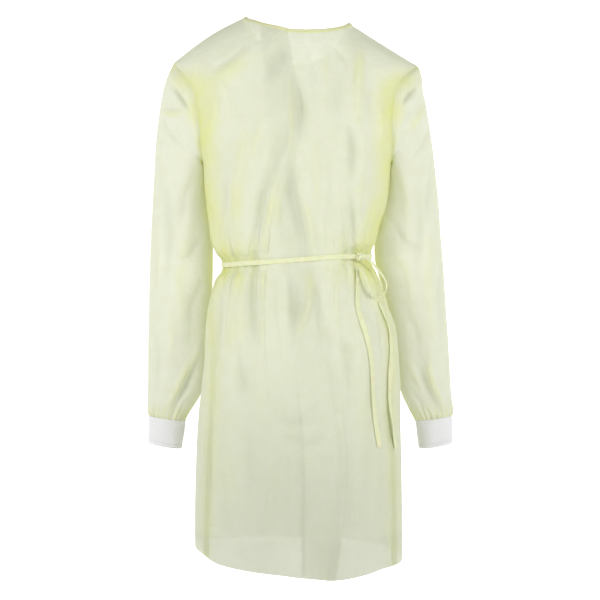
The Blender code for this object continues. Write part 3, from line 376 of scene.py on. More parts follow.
def low_place(face, share, z):
    """A panel's plain points below the underarm, with share from -1 at the left seam to 1 at the right."""
    side = side_of(share)
    turned = 90 - by_side(side, SEAM_TURN[LEFT], SEAM_TURN[RIGHT])
    seam = 90 - turned * ease((UNDERARM_Z - z) / SEAM_TURN_REACH)
    turn = side * (np.abs(share) * seam if face == BACK else 180 - np.abs(share) * (180 - seam))
    return level_point(turn, row_height(z, turn), side)


def neck_height(x, side, face):
    left_x, left_z = SHOULDERS[LEFT][:2]
    right_x, right_z = SHOULDERS[RIGHT][:2]
    straight = left_z + (right_z - left_z) * (x + left_x) / (left_x + right_x)
    round_off = np.clip(1 - (np.abs(x) / by_side(side, left_x, right_x)) ** 2, 0, 1) ** NECK_ROUND[face]
    return straight - NECK_DIP[face] * round_off


def top_place(face, share):
    """A panel's top edge: the neckline in the middle, the shoulder seams beside it."""
    share = np.asarray(share, float)
    side = side_of(share)
    neck_x = by_side(side, SHOULDERS[LEFT][0], SHOULDERS[RIGHT][0])
    x = side * neck_x * np.sin(np.pi / 2 * np.clip(np.abs(share) / NECK_SHARE, 0, 1))
    along = np.clip((np.abs(share) - NECK_SHARE) / (1 - NECK_SHARE), 0, 1)
    left_x, left_z = shoulder_line(LEFT, along)
    right_x, right_z = shoulder_line(RIGHT, along)
    on_neck = np.abs(share) < NECK_SHARE
    return (
        np.where(on_neck, x, side * by_side(side, left_x, right_x)),
        np.where(on_neck, neck_height(x, side, face), by_side(side, left_z, right_z)),
    )


def high_place(face, share, rise):
    """A panel's plain points above the underarm, with rise from 0 at the underarm to 1 at the top edge."""
    side = side_of(share)
    level = np.full_like(share, UNDERARM_Z)
    low = low_place(face, share, level)
    edge_low = low_place(face, side.astype(float), level)
    top_x, top_z = top_place(face, share)
    tip_x, _ = top_place(face, side.astype(float))
    seam_share = np.arccos(np.clip(1 - 2 * (1 - rise), -1, 1)) / np.pi
    left = armhole_seam(LEFT, face, seam_share)
    right = armhole_seam(RIGHT, face, seam_share)
    seam_x, seam_y, seam_z = (by_side(side, a, b) for a, b in zip(left, right))
    bulge = side * seam_x - (edge_low[..., 0] + (tip_x - edge_low[..., 0]) * rise)
    x = low[..., 0] + (top_x - low[..., 0]) * rise + bulge * np.abs(share) ** 3
    z = UNDERARM_Z + (top_z - UNDERARM_Z) * rise
    depth = depth_under(x, z, side, face)
    depth = np.where((rise > 0.99999) & (np.abs(share) >= NECK_SHARE), 0, depth)
    plain = np.stack([x, face * depth, z], axis=-1)
    seam = np.stack([side * seam_x, face * seam_y, seam_z], axis=-1)
    return np.where((np.abs(share) > 0.99999)[..., None], seam, plain)


# Folds and gathers
# What the cloth does where it hangs from the shoulders, is drawn in by the belt and falls to the hem. Long
# soft folds and small creases are placed one by one, and the belt draws the waist into narrow gathers.
# Columns of the gathers, in degrees and metres: turn, width, depth, up, down, lean_up, lean_down
GATHERS = (
    (-79, 3.4, 0.0055, 0.05, 0.07, -6, -4), (-71, 3.2, 0.007, 0.09, 0.12, -8, -2),
    (-62.5, 3.6, 0.008, 0.06, 0.19, 6, -4), (-53.5, 3.4, 0.0065, 0.12, 0.1, 12, 2),
    (-45, 3.8, 0.0085, 0.075, 0.23, 4, 4), (51, 3.4, 0.006, 0.08, 0.1, -6, -4),
    (59, 3.6, 0.008, 0.13, 0.17, -8, 4), (67.5, 3.2, 0.0065, 0.06, 0.11, 2, 6),
    (75.5, 3.4, 0.008, 0.1, 0.2, -4, 6), (84, 3.2, 0.005, 0.045, 0.08, 6, 8),
    (-146, 4, 0.006, 0.08, 0.15, 8, 4), (-134, 3.8, 0.0075, 0.12, 0.11, 10, -6),
    (-123, 3.8, 0.006, 0.06, 0.18, 0, 6), (120, 3.8, 0.0065, 0.11, 0.12, -8, 2),
    (131, 3.8, 0.0075, 0.07, 0.19, -4, -6), (143, 4.2, 0.0055, 0.12, 0.13, -10, -2),
)
GATHER_BULGE = 0.45
GATHER_LEAN = 0.6
GATHER_SPREAD = 0.55
GATHER_FADE = 1.6
BELT_PRESS = 0.022
BELT_HALF = 0.007
# Soft folds, each along three points, in millimetres. Columns: face, x, z, x, z, x, z, width, height
FOLDS = (
    (BACK, -88, -72, -148, -130, -152, -215, 20, 6.6), (BACK, -12, -50, -40, -90, -62, -140, 18, -6),
    (BACK, 0, -110, 8, -175, 12, -250, 10, -8.5), (BACK, -14, -110, -10, -190, -14, -270, 9, 5.2),
    (BACK, -18, -215, -64, -345, -84, -456, 13, -9), (BACK, -24, -250, -48, -340, -60, -440, 11, 5.6),
    (BACK, -8, -285, -10, -350, 18, -460, 12, -8.5), (BACK, 14, -360, 26, -410, 32, -462, 9, 5.2),
    (BACK, 120, -60, 116, -130, 114, -215, 11, 7.6), (BACK, 104, -210, 109, -262, 110, -320, 10, -9),
    (BACK, 128, -240, 124, -350, 118, -445, 11, 6.4), (BACK, 106, -345, 110, -400, 116, -462, 10, -8.5),
    (BACK, 86, -80, 78, -150, 80, -230, 14, -5), (BACK, -100, -230, -115, -330, -110, -440, 14, 7),
    (BACK, -85, -492, -86, -560, -80, -650, 12, -10), (BACK, -106, -500, -104, -590, -106, -690, 10, 6.4),
    (BACK, 26, -492, 22, -560, 0, -620, 10, 7.2), (BACK, -8, -500, -2, -560, -12, -610, 12, -6),
    (BACK, 60, -600, 104, -650, 106, -760, 14, -6), (BACK, -118, -620, -112, -700, -106, -740, 14, -5.6),
    (BACK, -50, -770, -10, -785, 50, -768, 11, -4.8), (BACK, -20, -815, 20, -825, 60, -812, 10, -4),
    (BACK, 120, -640, 128, -760, 130, -900, 16, 5.6), (BACK, -130, -760, -135, -880, -128, -1000, 18, 6.4),
    (FRONT, -60, -150, -75, -280, -100, -420, 16, -7.2), (FRONT, 50, -140, 70, -270, 90, -410, 15, -6.4),
    (FRONT, -10, -200, -4, -300, 6, -390, 18, 6.4), (FRONT, -80, -560, -95, -680, -100, -840, 18, 7.2),
    (FRONT, 20, -540, 30, -640, 24, -760, 16, -6.4), (FRONT, 100, -580, 115, -720, 118, -900, 18, 6.4),
    (FRONT, -20, -800, -30, -900, -28, -1000, 20, -5.6),
)
# Smaller creases between the main folds, in the same columns
CREASES = (
    (BACK, -30, -60, -22, -110, -30, -170, 6, -2.2), (BACK, -50, -50, -62, -95, -58, -150, 7, 2.4),
    (BACK, -95, -60, -125, -85, -160, -105, 7, -2.6), (BACK, -150, -150, -160, -195, -176, -240, 9, 3),
    (BACK, -160, -120, -140, -165, -146, -215, 6, -2.4),
    (BACK, -168, -250, -140, -285, -100, -300, 7, -2.4),
    (BACK, -130, -300, -135, -360, -150, -420, 8, -3.6), (BACK, -60, -200, -80, -250, -90, -310, 8, 3),
    (BACK, -45, -360, -60, -410, -75, -460, 6, 2.6), (BACK, -20, -300, -34, -370, -40, -440, 7, 3),
    (BACK, 20, -60, 34, -110, 30, -180, 7, -2.6), (BACK, 50, -55, 56, -120, 50, -200, 8, 2.6),
    (BACK, 70, -60, 95, -90, 110, -150, 6, -2.4), (BACK, 150, -120, 140, -170, 150, -230, 8, -3),
    (BACK, 158, -170, 166, -220, 160, -270, 6, 2.4), (BACK, 30, -230, 40, -300, 34, -380, 9, 3.4),
    (BACK, 60, -250, 66, -330, 62, -410, 7, -2.8), (BACK, 130, -280, 126, -350, 132, -420, 7, -3),
    (BACK, 45, -390, 52, -430, 50, -462, 5, 2.2), (BACK, -65, -500, -60, -560, -66, -630, 7, 3),
    (BACK, -45, -500, -46, -570, -34, -640, 8, -3), (BACK, -10, -500, -6, -580, -16, -680, 8, -3),
    (BACK, 46, -500, 44, -590, 52, -680, 8, -3.2), (BACK, 70, -500, 78, -570, 80, -660, 7, 3),
    (BACK, -112, -520, -120, -590, -128, -680, 8, 3.6), (BACK, -140, -530, -150, -610, -160, -700, 9, -3.4),
    (BACK, -80, -640, -70, -720, -74, -820, 10, 3), (BACK, -100, -780, -92, -860, -96, -950, 12, -3),
    (BACK, -50, -820, -46, -900, -52, -1000, 13, 3.4), (BACK, 10, -850, 14, -940, 8, -1040, 13, -3.4),
    (BACK, 50, -880, 56, -960, 52, -1050, 11, 2.8), (BACK, 100, -820, 104, -920, 100, -1020, 12, -3),
    (BACK, 150, -700, 156, -820, 160, -960, 14, 4), (BACK, 172, -620, 180, -740, 182, -860, 10, -3.4),
    (BACK, -170, -720, -172, -840, -170, -980, 13, -4), (BACK, -36, -800, -10, -806, 20, -798, 5, 2.2),
    (BACK, 10, -760, 36, -752, 64, -744, 5, -2), (BACK, -60, -748, -40, -738, -16, -742, 5, 1.8),
    (FRONT, -40, -120, -46, -190, -40, -270, 10, 3), (FRONT, 20, -110, 30, -180, 24, -260, 9, -2.8),
    (FRONT, 90, -100, 110, -150, 130, -220, 9, 3.2), (FRONT, -90, -90, -115, -150, -130, -230, 9, -3.2),
    (FRONT, 160, -160, 140, -230, 150, -300, 9, -3.4), (FRONT, -160, -160, -145, -230, -150, -310, 9, 3.4),
    (FRONT, 110, -300, 120, -370, 112, -440, 8, -3.4), (FRONT, -120, -290, -128, -360, -120, -440, 8, 3.4),
    (FRONT, 45, -350, 52, -400, 50, -455, 6, 2.6), (FRONT, -50, -340, -56, -400, -50, -455, 6, -2.6),
    (FRONT, -50, -510, -46, -600, -56, -700, 9, -3.4), (FRONT, 65, -510, 60, -610, 70, -720, 10, 3.6),
    (FRONT, 130, -520, 140, -610, 150, -720, 10, -3.6),
    (FRONT, -130, -520, -140, -620, -150, -740, 10, 3.6), (FRONT, 50, -780, 56, -880, 50, -1000, 14, 3.6),
    (FRONT, -80, -860, -76, -940, -84, -1030, 13, 3.4), (FRONT, 140, -880, 150, -960, 146, -1040, 14, -3.8),
    (FRONT, -140, -840, -150, -930, -146, -1030, 14, -3.8),
)
CREASE_DEPTH = 1.2
FOLD_FREE = 0.045


def fold_raise(x, z, sizes, depth=1.0):
    """A soft trough or ridge along a bent line, fading out at both ends."""
    points = np.array(sizes[:6]).reshape(3, 2) / 1000
    best = np.full(x.shape, np.inf)
    along = np.zeros(x.shape)
    for i, start in enumerate(points[:-1]):
        run = points[i + 1] - start
        share = np.clip(((x - start[0]) * run[0] + (z - start[1]) * run[1]) / np.dot(run, run), 0, 1)
        distance = np.hypot(x - start[0] - share * run[0], z - start[1] - share * run[1])
        along = np.where(distance < best, (i + share) / 2, along)
        best = np.minimum(best, distance)
    width, height = sizes[6] / 1000, sizes[7] / 1000 * depth
    return height * bell(best / width) * (0.25 + 0.75 * np.sin(np.pi * along))


def turn_of(x, y):
    return np.degrees(np.arctan2(x, -y))


def cloth_raise(points):
    """How far the folds, creases and gathers move the cloth out from the plain body."""
    x, y, z = points[..., 0], points[..., 1], points[..., 2]
    raised = np.zeros(x.shape)
    fade = ease(np.abs(y) / FOLD_FREE)
    for face, *sizes in FOLDS + CREASES:
        on_face = np.where(y < 0, BACK, FRONT) == face
        raised += np.where(on_face, fade, 0) * fold_raise(x, z, sizes, CREASE_DEPTH)
    turn = turn_of(x, y)
    above_belt = z - read(BELT_LINE, turn)
    low = z < UNDERARM_Z + 0.06
    pressed = 1 - ease((np.abs(above_belt) - BELT_HALF) / BELT_PRESS)
    raised = np.minimum(raised, raised * (1 - pressed))
    for at, width, depth, up, down, lean_up, lean_down in GATHERS:
        share = np.abs(above_belt) / np.where(above_belt > 0, up, down)
        centre = at + np.where(above_belt > 0, lean_up, lean_down) * share * GATHER_LEAN
        away = (turn - centre) / (width * (1 + GATHER_SPREAD * share))
        fading = 1 - ease(share / GATHER_FADE)
        near = (np.abs(away) < 3) & low
        raised += np.where(near, depth * fading * (GATHER_BULGE * (1 - pressed) - bell(away)), 0)
    return raised


def grid_outward(points, closed=False):
    """Outward directions of a grid of points, rows by columns by three."""
    down = np.gradient(points, axis=0)
    if closed:
        round_it = np.roll(points, -1, axis=1) - np.roll(points, 1, axis=1)
    else:
        round_it = np.gradient(points, axis=1)
    way = np.cross(round_it, down)
    way /= np.maximum(np.linalg.norm(way, axis=-1, keepdims=True), 1e-12)
    out = points - points.mean(axis=(0, 1)) * np.array((1, 0, 0))
    turned = np.sum(way * out * np.array((1, 1, 0)))
    return way if turned > 0 else -way


def sheet_object(name, points, material, closed=False):
    """A single sheet of cloth from a grid of points, with a UV map in metres along its rows and columns."""
    rows, columns = points.shape[:2]
    flat = points.reshape(-1, 3)
    r, c = np.meshgrid(np.arange(rows - 1), np.arange(columns if closed else columns - 1), indexing="ij")
    right = (c + 1) % columns
    corners = [r * columns + c, r * columns + right, (r + 1) * columns + right, (r + 1) * columns + c]
    faces = np.stack(corners, -1).reshape(-1, 4)
    quad = flat[faces]
    way = np.cross(quad[:, 2] - quad[:, 0], quad[:, 3] - quad[:, 1])
    out = quad.mean(axis=1) - flat.mean(axis=0)
    if np.sum(way * out * np.array((1, 1, 0))) < 0:
        faces = faces[:, ::-1]
    along = np.cumsum(np.linalg.norm(np.diff(points, axis=1, prepend=points[:, :1]), axis=-1), axis=1)
    down = np.cumsum(np.linalg.norm(np.diff(points, axis=0, prepend=points[:1]), axis=-1), axis=0)
    u = np.broadcast_to(np.median(along, axis=0), along.shape)
    v = np.broadcast_to(np.median(down, axis=1)[:, None], down.shape)
    uv = np.stack([u.reshape(-1), v.reshape(-1)], axis=-1)[faces.reshape(-1)]
    made = new_object(name, flat.tolist(), faces.tolist(), material, uv)
    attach(made, "root")
    return made


def toned(piece, layers_and_highlight, painted_shade):
    """Marks each point's yellow, for cloth in several layers and for painted highlight on ridges, and its
    painted shade.
    """
    for name, amount in (("layers_and_highlight", layers_and_highlight), ("painted_shade", painted_shade)):
        marks = piece.data.attributes.new(name, "FLOAT", "POINT")
        marks.data.foreach_set("value", np.clip(amount, 0, 1).astype(np.float32).reshape(-1))


def stand_for(node):
    """A finished piece takes the place of the plain solid, which is hidden."""
    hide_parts(node)


# Nonwoven cloth
# Thin spunbond polypropylene: sheer, pale lemon, matt, with cloudy fibre, a fine pressed grid of bonding
# points and small crumples. Several layers look yellower than one. Painted highlight makes fold ridges
# yellower, and painted shade makes fold troughs, the lower skirt and the hem greyer.
# Yellow for cloth in several layers, also used as painted highlight on fold ridges
LAYERED_AND_HIGHLIGHT = (0.850, 0.875, 0.360)
# Grey of the painted shade in fold troughs, down the skirt and below the far hem
PAINTED_SHADE_GREY = (0.520, 0.550, 0.430)
CLOTH = (0.825, 0.850, 0.655)
CLOTH_PALE = (0.895, 0.912, 0.800)
LIGHT_THROUGH = 0.26


def bonding_points(cloth, under):
    """The fine grid of pressed points, over the cloth's larger relief."""
    cut = cloth.add("UVMap", {}, "UV", uv_map="cut")
    pressed = cloth.add("TexVoronoi", {"Vector": cut, "Scale": 620, "Randomness": 0.25}, "Distance")
    return cloth.bump(pressed, 0.35, 0.0004, under)


def nonwoven(name, colour, pale, cover):
    """cover is how much of the light one layer stops. Where cloth lies in folds on a seam it is yellower.
    Ridges get painted highlight in the same yellow, and marked places get grey painted shade.
    """
    cloth = Finish(name)
    cloud = cloth.noise(38, 5, 0.62)
    fibre = cloth.noise(900, 3, distortion=1.6)
    mixed = cloth.add("Mix", {"Factor": 0.45, "A": cloud, "B": fibre}, "Result", data_type="FLOAT")
    tint = cloth.shades(mixed, 0.28, colour, 0.74, pale)
    # Mixes in the yellow of layered cloth and of painted highlight, then the grey of painted shade
    for mark, tone in (("layers_and_highlight", LAYERED_AND_HIGHLIGHT), ("painted_shade", PAINTED_SHADE_GREY)):
        amount = cloth.add("Attribute", {}, "Fac", attribute_name=mark)
        blend = {"Factor": amount, "A": tint, "B": (*tone, 1)}
        tint = cloth.add("Mix", blend, "Result", data_type="RGBA")
    relief = bonding_points(cloth, cloth.bump(cloth.noise(30, 4, 0.55, 0.5), 0.75, 0.004))
    look = {"Base Color": tint, "Normal": relief, "Roughness": cloth.range(cloud, 0.62, 0.86)}
    cloth.feed(cloth.surface, {**look, "Specular IOR Level": 0.25, "Sheen Weight": 0.15, "Alpha": cover})
    through = cloth.add("BsdfTranslucent", {"Color": tint, "Normal": relief}, "BSDF")
    parts = {"Fac": LIGHT_THROUGH, 1: cloth.surface.outputs["BSDF"], 2: through}
    cloth.feed(cloth.nodes["Material Output"], {"Surface": cloth.add("MixShader", parts, "Shader")})
    return cloth.material


# Front and back panels
# Three pieces of cloth joined at the shoulders and down the sides. The front is one piece. The two backs lap,
# the left one over the right one, with raw free edges from the neckline to the hem.
HIGH_STEPS = 76
# Rows of points below the underarm. Columns: from z, to z, count
LOW_STEPS = ((-1.070, -0.660, 78), (-0.660, -0.360, 96), (-0.360, -0.285, 18))
LOW_ROWS = sum(count for _, _, count in LOW_STEPS)
PANEL_COLUMNS = {"front": 200, "back_left": 160, "back_right": 130}
PANEL_COVER = 0.93
LAP_SETTLE = 0.020
LAP_SETTLED = 0.86
ARMHOLE_EVENING = 30
SHOULDER_EVENING = 90


def free_share(level_points, shares, edge):
    """Share at which each row of the back meets a free edge."""
    found = []
    for row in level_points:
        middle = np.abs(shares) < 0.85
        target = float(read(edge, float(np.interp(0, shares, row[:, 2]))))
        found.append(float(np.interp(target, row[middle, 0], shares[middle])))
    return np.array(found)


def plain_panel(face, shares):
    """Plain points of a panel from the hem to the top edge, evened out where its two parts meet."""
    low_z = np.concatenate([np.linspace(a, b, n, endpoint=False) for a, b, n in LOW_STEPS])
    rise = (1 - np.cos(np.pi * np.arange(HIGH_STEPS + 1) / HIGH_STEPS)) / 2
    low_shares, high_shares = shares[:LOW_ROWS], shares[LOW_ROWS:]
    low = low_place(face, low_shares, np.broadcast_to(low_z[:, None], low_shares.shape))
    high = high_place(face, high_shares, np.broadcast_to(rise[:, None], high_shares.shape))
    points = np.concatenate([low, high])
    row = np.arange(len(points))[:, None]
    near = bell((row - LOW_ROWS) / 12.0)
    near = np.where((np.abs(shares) > 0.97) & (row >= LOW_ROWS), 0, near)
    for _ in range(ARMHOLE_EVENING):
        blended = points.copy()
        blended[1:-1] = (points[:-2] + 2 * points[1:-1] + points[2:]) / 4
        points = points + (blended - points) * near[..., None]
    upper = ease((row - LOW_ROWS - 0.30 * HIGH_STEPS) / (0.25 * HIGH_STEPS))
    upper = upper * ease((len(points) - 1 - row) / 6) * ease((1 - np.abs(shares)) / 0.05)
    for _ in range(SHOULDER_EVENING):
        blended = points.copy()
        beside = points[:-2, 1:-1] + points[2:, 1:-1] + points[1:-1, :-2] + points[1:-1, 2:]
        blended[1:-1, 1:-1] = (beside + 2 * points[1:-1, 1:-1]) / 6
        points = points + (blended - points) * upper[..., None]
    return points


def panel_points(name):
    """Plain points of a panel, out to its seams and its free edge."""
    rows = LOW_ROWS + HIGH_STEPS + 1
    count = PANEL_COLUMNS[name]
    if name == "front":
        return plain_panel(FRONT, np.tile(np.linspace(-1, 1, count), (rows, 1)))
    probe = np.linspace(-1, 1, 121)
    whole = plain_panel(BACK, np.tile(probe, (rows, 1)))
    free = free_share(whole, probe, OVER_EDGE if name == "back_left" else UNDER_EDGE)[:, None]
    across = np.linspace(0, 1, count)[None, :]
    return plain_panel(BACK, -1 + across * (free + 1) if name == "back_left" else free + across * (1 - free))


def lap_raise(points):
    """How far the left panel stands off the right one. Towards its free edge it settles down again."""
    x, z = points[..., 0], points[..., 2]
    settled = 1 - LAP_SETTLED * ease((x - read(OVER_EDGE, z) + LAP_SETTLE) / LAP_SETTLE)
    return read(LAPS, z) * settled * ease((x - read(UNDER_EDGE, z) + LAP_RAMP + LAP_AHEAD) / LAP_RAMP)


def dressed_panel(name):
    plain = panel_points(name)
    way = grid_outward(plain)
    raised = cloth_raise(plain)
    if name == "back_left":
        raised = raised + lap_raise(plain)
    return plain + way * raised[..., None], way, raised


# Yellow bands beside the side seams, where the front's cloth lies behind. Widths above and below the belt
SIDE_DENSE = 0.052
SKIRT_DENSE = 0.028
SKIRT_TOP = -0.48
BAND_YELLOW = 0.85
# Painted highlight on the fold ridges
RIDGE_PAINTED_HIGHLIGHT = 0.36
GATHER_YELLOW = 0.38
# Where the gathers bunch most under the tie. Columns: x, z, reach, amount
TIE_YELLOW = ((0.126, -0.492, 0.022, 0.45), (-0.128, -0.482, 0.020, 0.30), (-0.092, -0.470, 0.010, 0.30))
# Painted shade in fold troughs, down the skirt and below the far side's hem, and painted light that makes the
# lap paler
TROUGH_PAINTED_SHADE = 0.21
SKIRT_PAINTED_SHADE = 0.52
LAP_PAINTED_LIGHT = 0.26
FAR_HEM_SEEN = -0.995
FAR_HEM_PAINTED_SHADE = 0.13


def side_bands(name, points):
    """Denser bands beside a panel's seams, uneven, fading towards the shoulder and down the skirt."""
    x, z = points[..., 0], points[..., 2]
    wide = np.where(z > SKIRT_TOP, SIDE_DENSE, SKIRT_DENSE)
    from_side = np.ones(x.shape)
    for column, other_back in ((0, "back_right"), (-1, "back_left")):
        if name != other_back:
            from_side = np.minimum(from_side, np.abs(x - x[:, column][:, None]) / wide)
    rough_edge = 0.84 + 0.12 * np.sin(z / 0.019 + x / 0.016) + 0.08 * np.sin(z / 0.008 - x / 0.007)
    bands = (1 - ease(from_side)) * ease((-0.09 - z) / 0.05) * (0.50 + 0.50 * ease((z + 0.56) / 0.2))
    return BAND_YELLOW * bands * rough_edge


def gathered_yellow(points):
    """Yellow where the belt draws the cloth into narrow gathers, most of all at the knot."""
    x, y, z = points[..., 0], points[..., 1], points[..., 2]
    from_belt = np.abs(z - read(BELT_LINE, turn_of(x, y)))
    gathered = GATHER_YELLOW * (1 - ease(from_belt / 0.075)) * ease((np.abs(x) - 0.040) / 0.045)
    gathered = gathered * (0.55 + 0.30 * np.sin(x / 0.0046 + 1.0) + 0.15 * np.sin(x / 0.0021))
    for knot_x, knot_z, reach, amount in TIE_YELLOW:
        away = np.hypot((x - knot_x) / reach, (z - knot_z) / (1.7 * reach))
        gathered = gathered + amount * bell(away) * (y < 0)
    return gathered


def painted_shade_tones(name, points, raised):
    """Painted shade: grey in the troughs and down the skirt, and deeper below the far side's hem; painted
    light makes the lap paler.
    """
    x, z = points[..., 0], points[..., 2]
    # Painted shade in troughs and down the skirt, painted light on the lap, and painted shade below the far
    # hem, lighter at the middle
    grey = TROUGH_PAINTED_SHADE * ease(-raised / 0.010)
    grey += SKIRT_PAINTED_SHADE * ease((-0.58 - z) / 0.42) * (1 - 0.38 * ease((np.abs(x) - 0.05) / 0.13))
    if name == "back_left":
        grey -= LAP_PAINTED_LIGHT * ease((x - read(UNDER_EDGE, z)) / 0.01) * ease((-0.55 - z) / 0.3)
    return grey + FAR_HEM_PAINTED_SHADE * ease((FAR_HEM_SEEN - z) / 0.03) * (1 - bell(x / 0.05))


panels = {}
panel_ways = {}
for panel_name in PANEL_COLUMNS:
    points, panel_ways[panel_name], raised = dressed_panel(panel_name)
    panels[panel_name] = points
    panel_cloth = nonwoven(panel_name + "_cloth", CLOTH, CLOTH_PALE, PANEL_COVER)
    panel = sheet_object(panel_name + "_panel", points, panel_cloth)
    if panel_name == "back_left":
        raised = raised - lap_raise(points)
    level = points[..., 2]
    # Painted highlight: a paler yellow on the fold ridges, weaker low on the skirt
    ridge_highlight = RIDGE_PAINTED_HIGHLIGHT * ease(raised / 0.007) * ease((-0.05 - level) / 0.05)
    ridge_highlight = ridge_highlight * (0.7 + 0.3 * np.sin(level / 0.021))
    ridge_highlight = ridge_highlight * (0.4 + 0.6 * ease((level + 0.75) / 0.3))
    # Yellow of layered cloth at the seams and gathers, with the painted highlight of the ridges, then the
    # painted shade
    yellow = side_bands(panel_name, points) + ridge_highlight + gathered_yellow(points)
    toned(panel, yellow, painted_shade_tones(panel_name, points, raised))
    stand_for(panel_name)

# Seam allowances
# Raw strips of the same cloth, 8 to 10 mm wide, turned to the inside along the shoulder, armhole and side
# seams. They show through the sheer cloth as denser yellow lines.
ALLOWANCE = 0.009
ALLOWANCE_INSIDE = 0.0007
ALLOWANCE_STEPS = np.array((0.0, 0.25, 0.5, 0.75, 1.0))
# How many columns or rows beside a seam the strip may need
NEAR_SEAM = 40
SEAM_COVER = 0.80
SEAM_YELLOW = (0.760, 0.780, 0.380)
SEAM_PALE = (0.830, 0.845, 0.480)


def edge_strip(points, ways):
    """A strip that follows a grid's first column, inside the cloth."""
    points, ways = points[:, :NEAR_SEAM], ways[:, :NEAR_SEAM]
    away = np.cumsum(np.linalg.norm(np.diff(points, axis=1, prepend=points[:, :1]), axis=-1), axis=1)
    made = np.zeros((len(points), len(ALLOWANCE_STEPS), 3))
    for r in range(len(points)):
        inside = points[r] - ways[r] * ALLOWANCE_INSIDE
        reach = ALLOWANCE * (1 + 0.10 * math.sin(r * 0.21) + 0.05 * math.sin(r * 0.077 + 1))
        for axis in range(3):
            made[r, :, axis] = np.interp(ALLOWANCE_STEPS * reach, away[r], inside[:, axis])
    return made


def seam_strips(name, points, ways):
    """The strips beside a panel's own seams: the side, the armhole and, on the backs, the shoulder."""
    strips = []
    for side, other_back in ((LEFT, "back_right"), (RIGHT, "back_left")):
        if name == other_back:
            continue
        from_edge = slice(None) if side == LEFT else slice(None, None, -1)
        near, near_ways = points[:, from_edge], ways[:, from_edge]
        strips.append(edge_strip(near[:LOW_ROWS], near_ways[:LOW_ROWS]))
        strips.append(edge_strip(near[LOW_ROWS:-2], near_ways[LOW_ROWS:-2]))
        if name != "front":
            on_shoulder = np.abs(near[-1, :, 0]) > SHOULDERS[side][0] + 0.001
            down = [grid[::-1].transpose(1, 0, 2)[on_shoulder] for grid in (near, near_ways)]
            strips.append(edge_strip(*down))
    return strips


seam_cloth = nonwoven("seam_cloth", SEAM_YELLOW, SEAM_PALE, SEAM_COVER)
for panel_name, points in panels.items():
    for number, grid in enumerate(seam_strips(panel_name, points, panel_ways[panel_name])):
        sheet_object(panel_name + "_seam_" + str(number + 1), grid, seam_cloth)

# Sleeves
# One-piece set-in sleeves of the same cloth, joined round the armhole and under the arm, gathered a little
# onto the knit cuffs.
CAP_BULGES = (0.62, 0.42, 0.28, 0.17, 0.09, 0.04)
ARM_SQUARENESS = 2.15
# Rings from the armhole down, in millimetres, with widths measured from the middle plane.
# Columns: out_left, in_left, out_right, in_right, out_z, in_z, middle_y, half_depth
RINGS = (
    (250, 187.2, 242.5, 187.2, -98, -283, 2, 70), (258, 187.8, 248, 187.8, -115, -284.5, 6, 69),
    (265.5, 187, 250.5, 187, -137, -290, 12, 67.5), (272.5, 184.2, 257.5, 184.2, -167, -300, 19, 65.5),
    (278.5, 182.8, 264.5, 182.8, -203, -312, 26, 63), (283.5, 181.6, 271.5, 181.2, -243, -328, 32, 60.5),
    (287, 180, 277.5, 179, -287, -345, 37, 58), (290, 179, 283, 175, -332, -365, 41, 56),
    (293, 175, 288, 165, -378, -392, 45, 54), (296.2, 171, 291.5, 158, -427, -430, 48, 52),
    (298.8, 171, 297, 159, -480, -480, 51, 50), (301, 172.2, 301, 174, -535, -535, 53, 48.5),
    (302.5, 174.5, 305, 186, -590, -590, 55, 46.5), (304, 178, 309, 196, -640, -642, 57, 45),
    (304.8, 182.5, 312, 203, -690, -693, 59, 43), (305.5, 188.5, 314.5, 209, -730, -735, 60, 41),
    (306.2, 204, 317, 220, -760, -765, 61, 37.5), (306.5, 218, 319, 232, -781, -787, 62, 33.5),
    (305.5, 226.5, 319.2, 240.5, -792, -801, 62, 30), (304, 228.5, 318, 242.6, -796, -806.2, 62, 28.5),
)
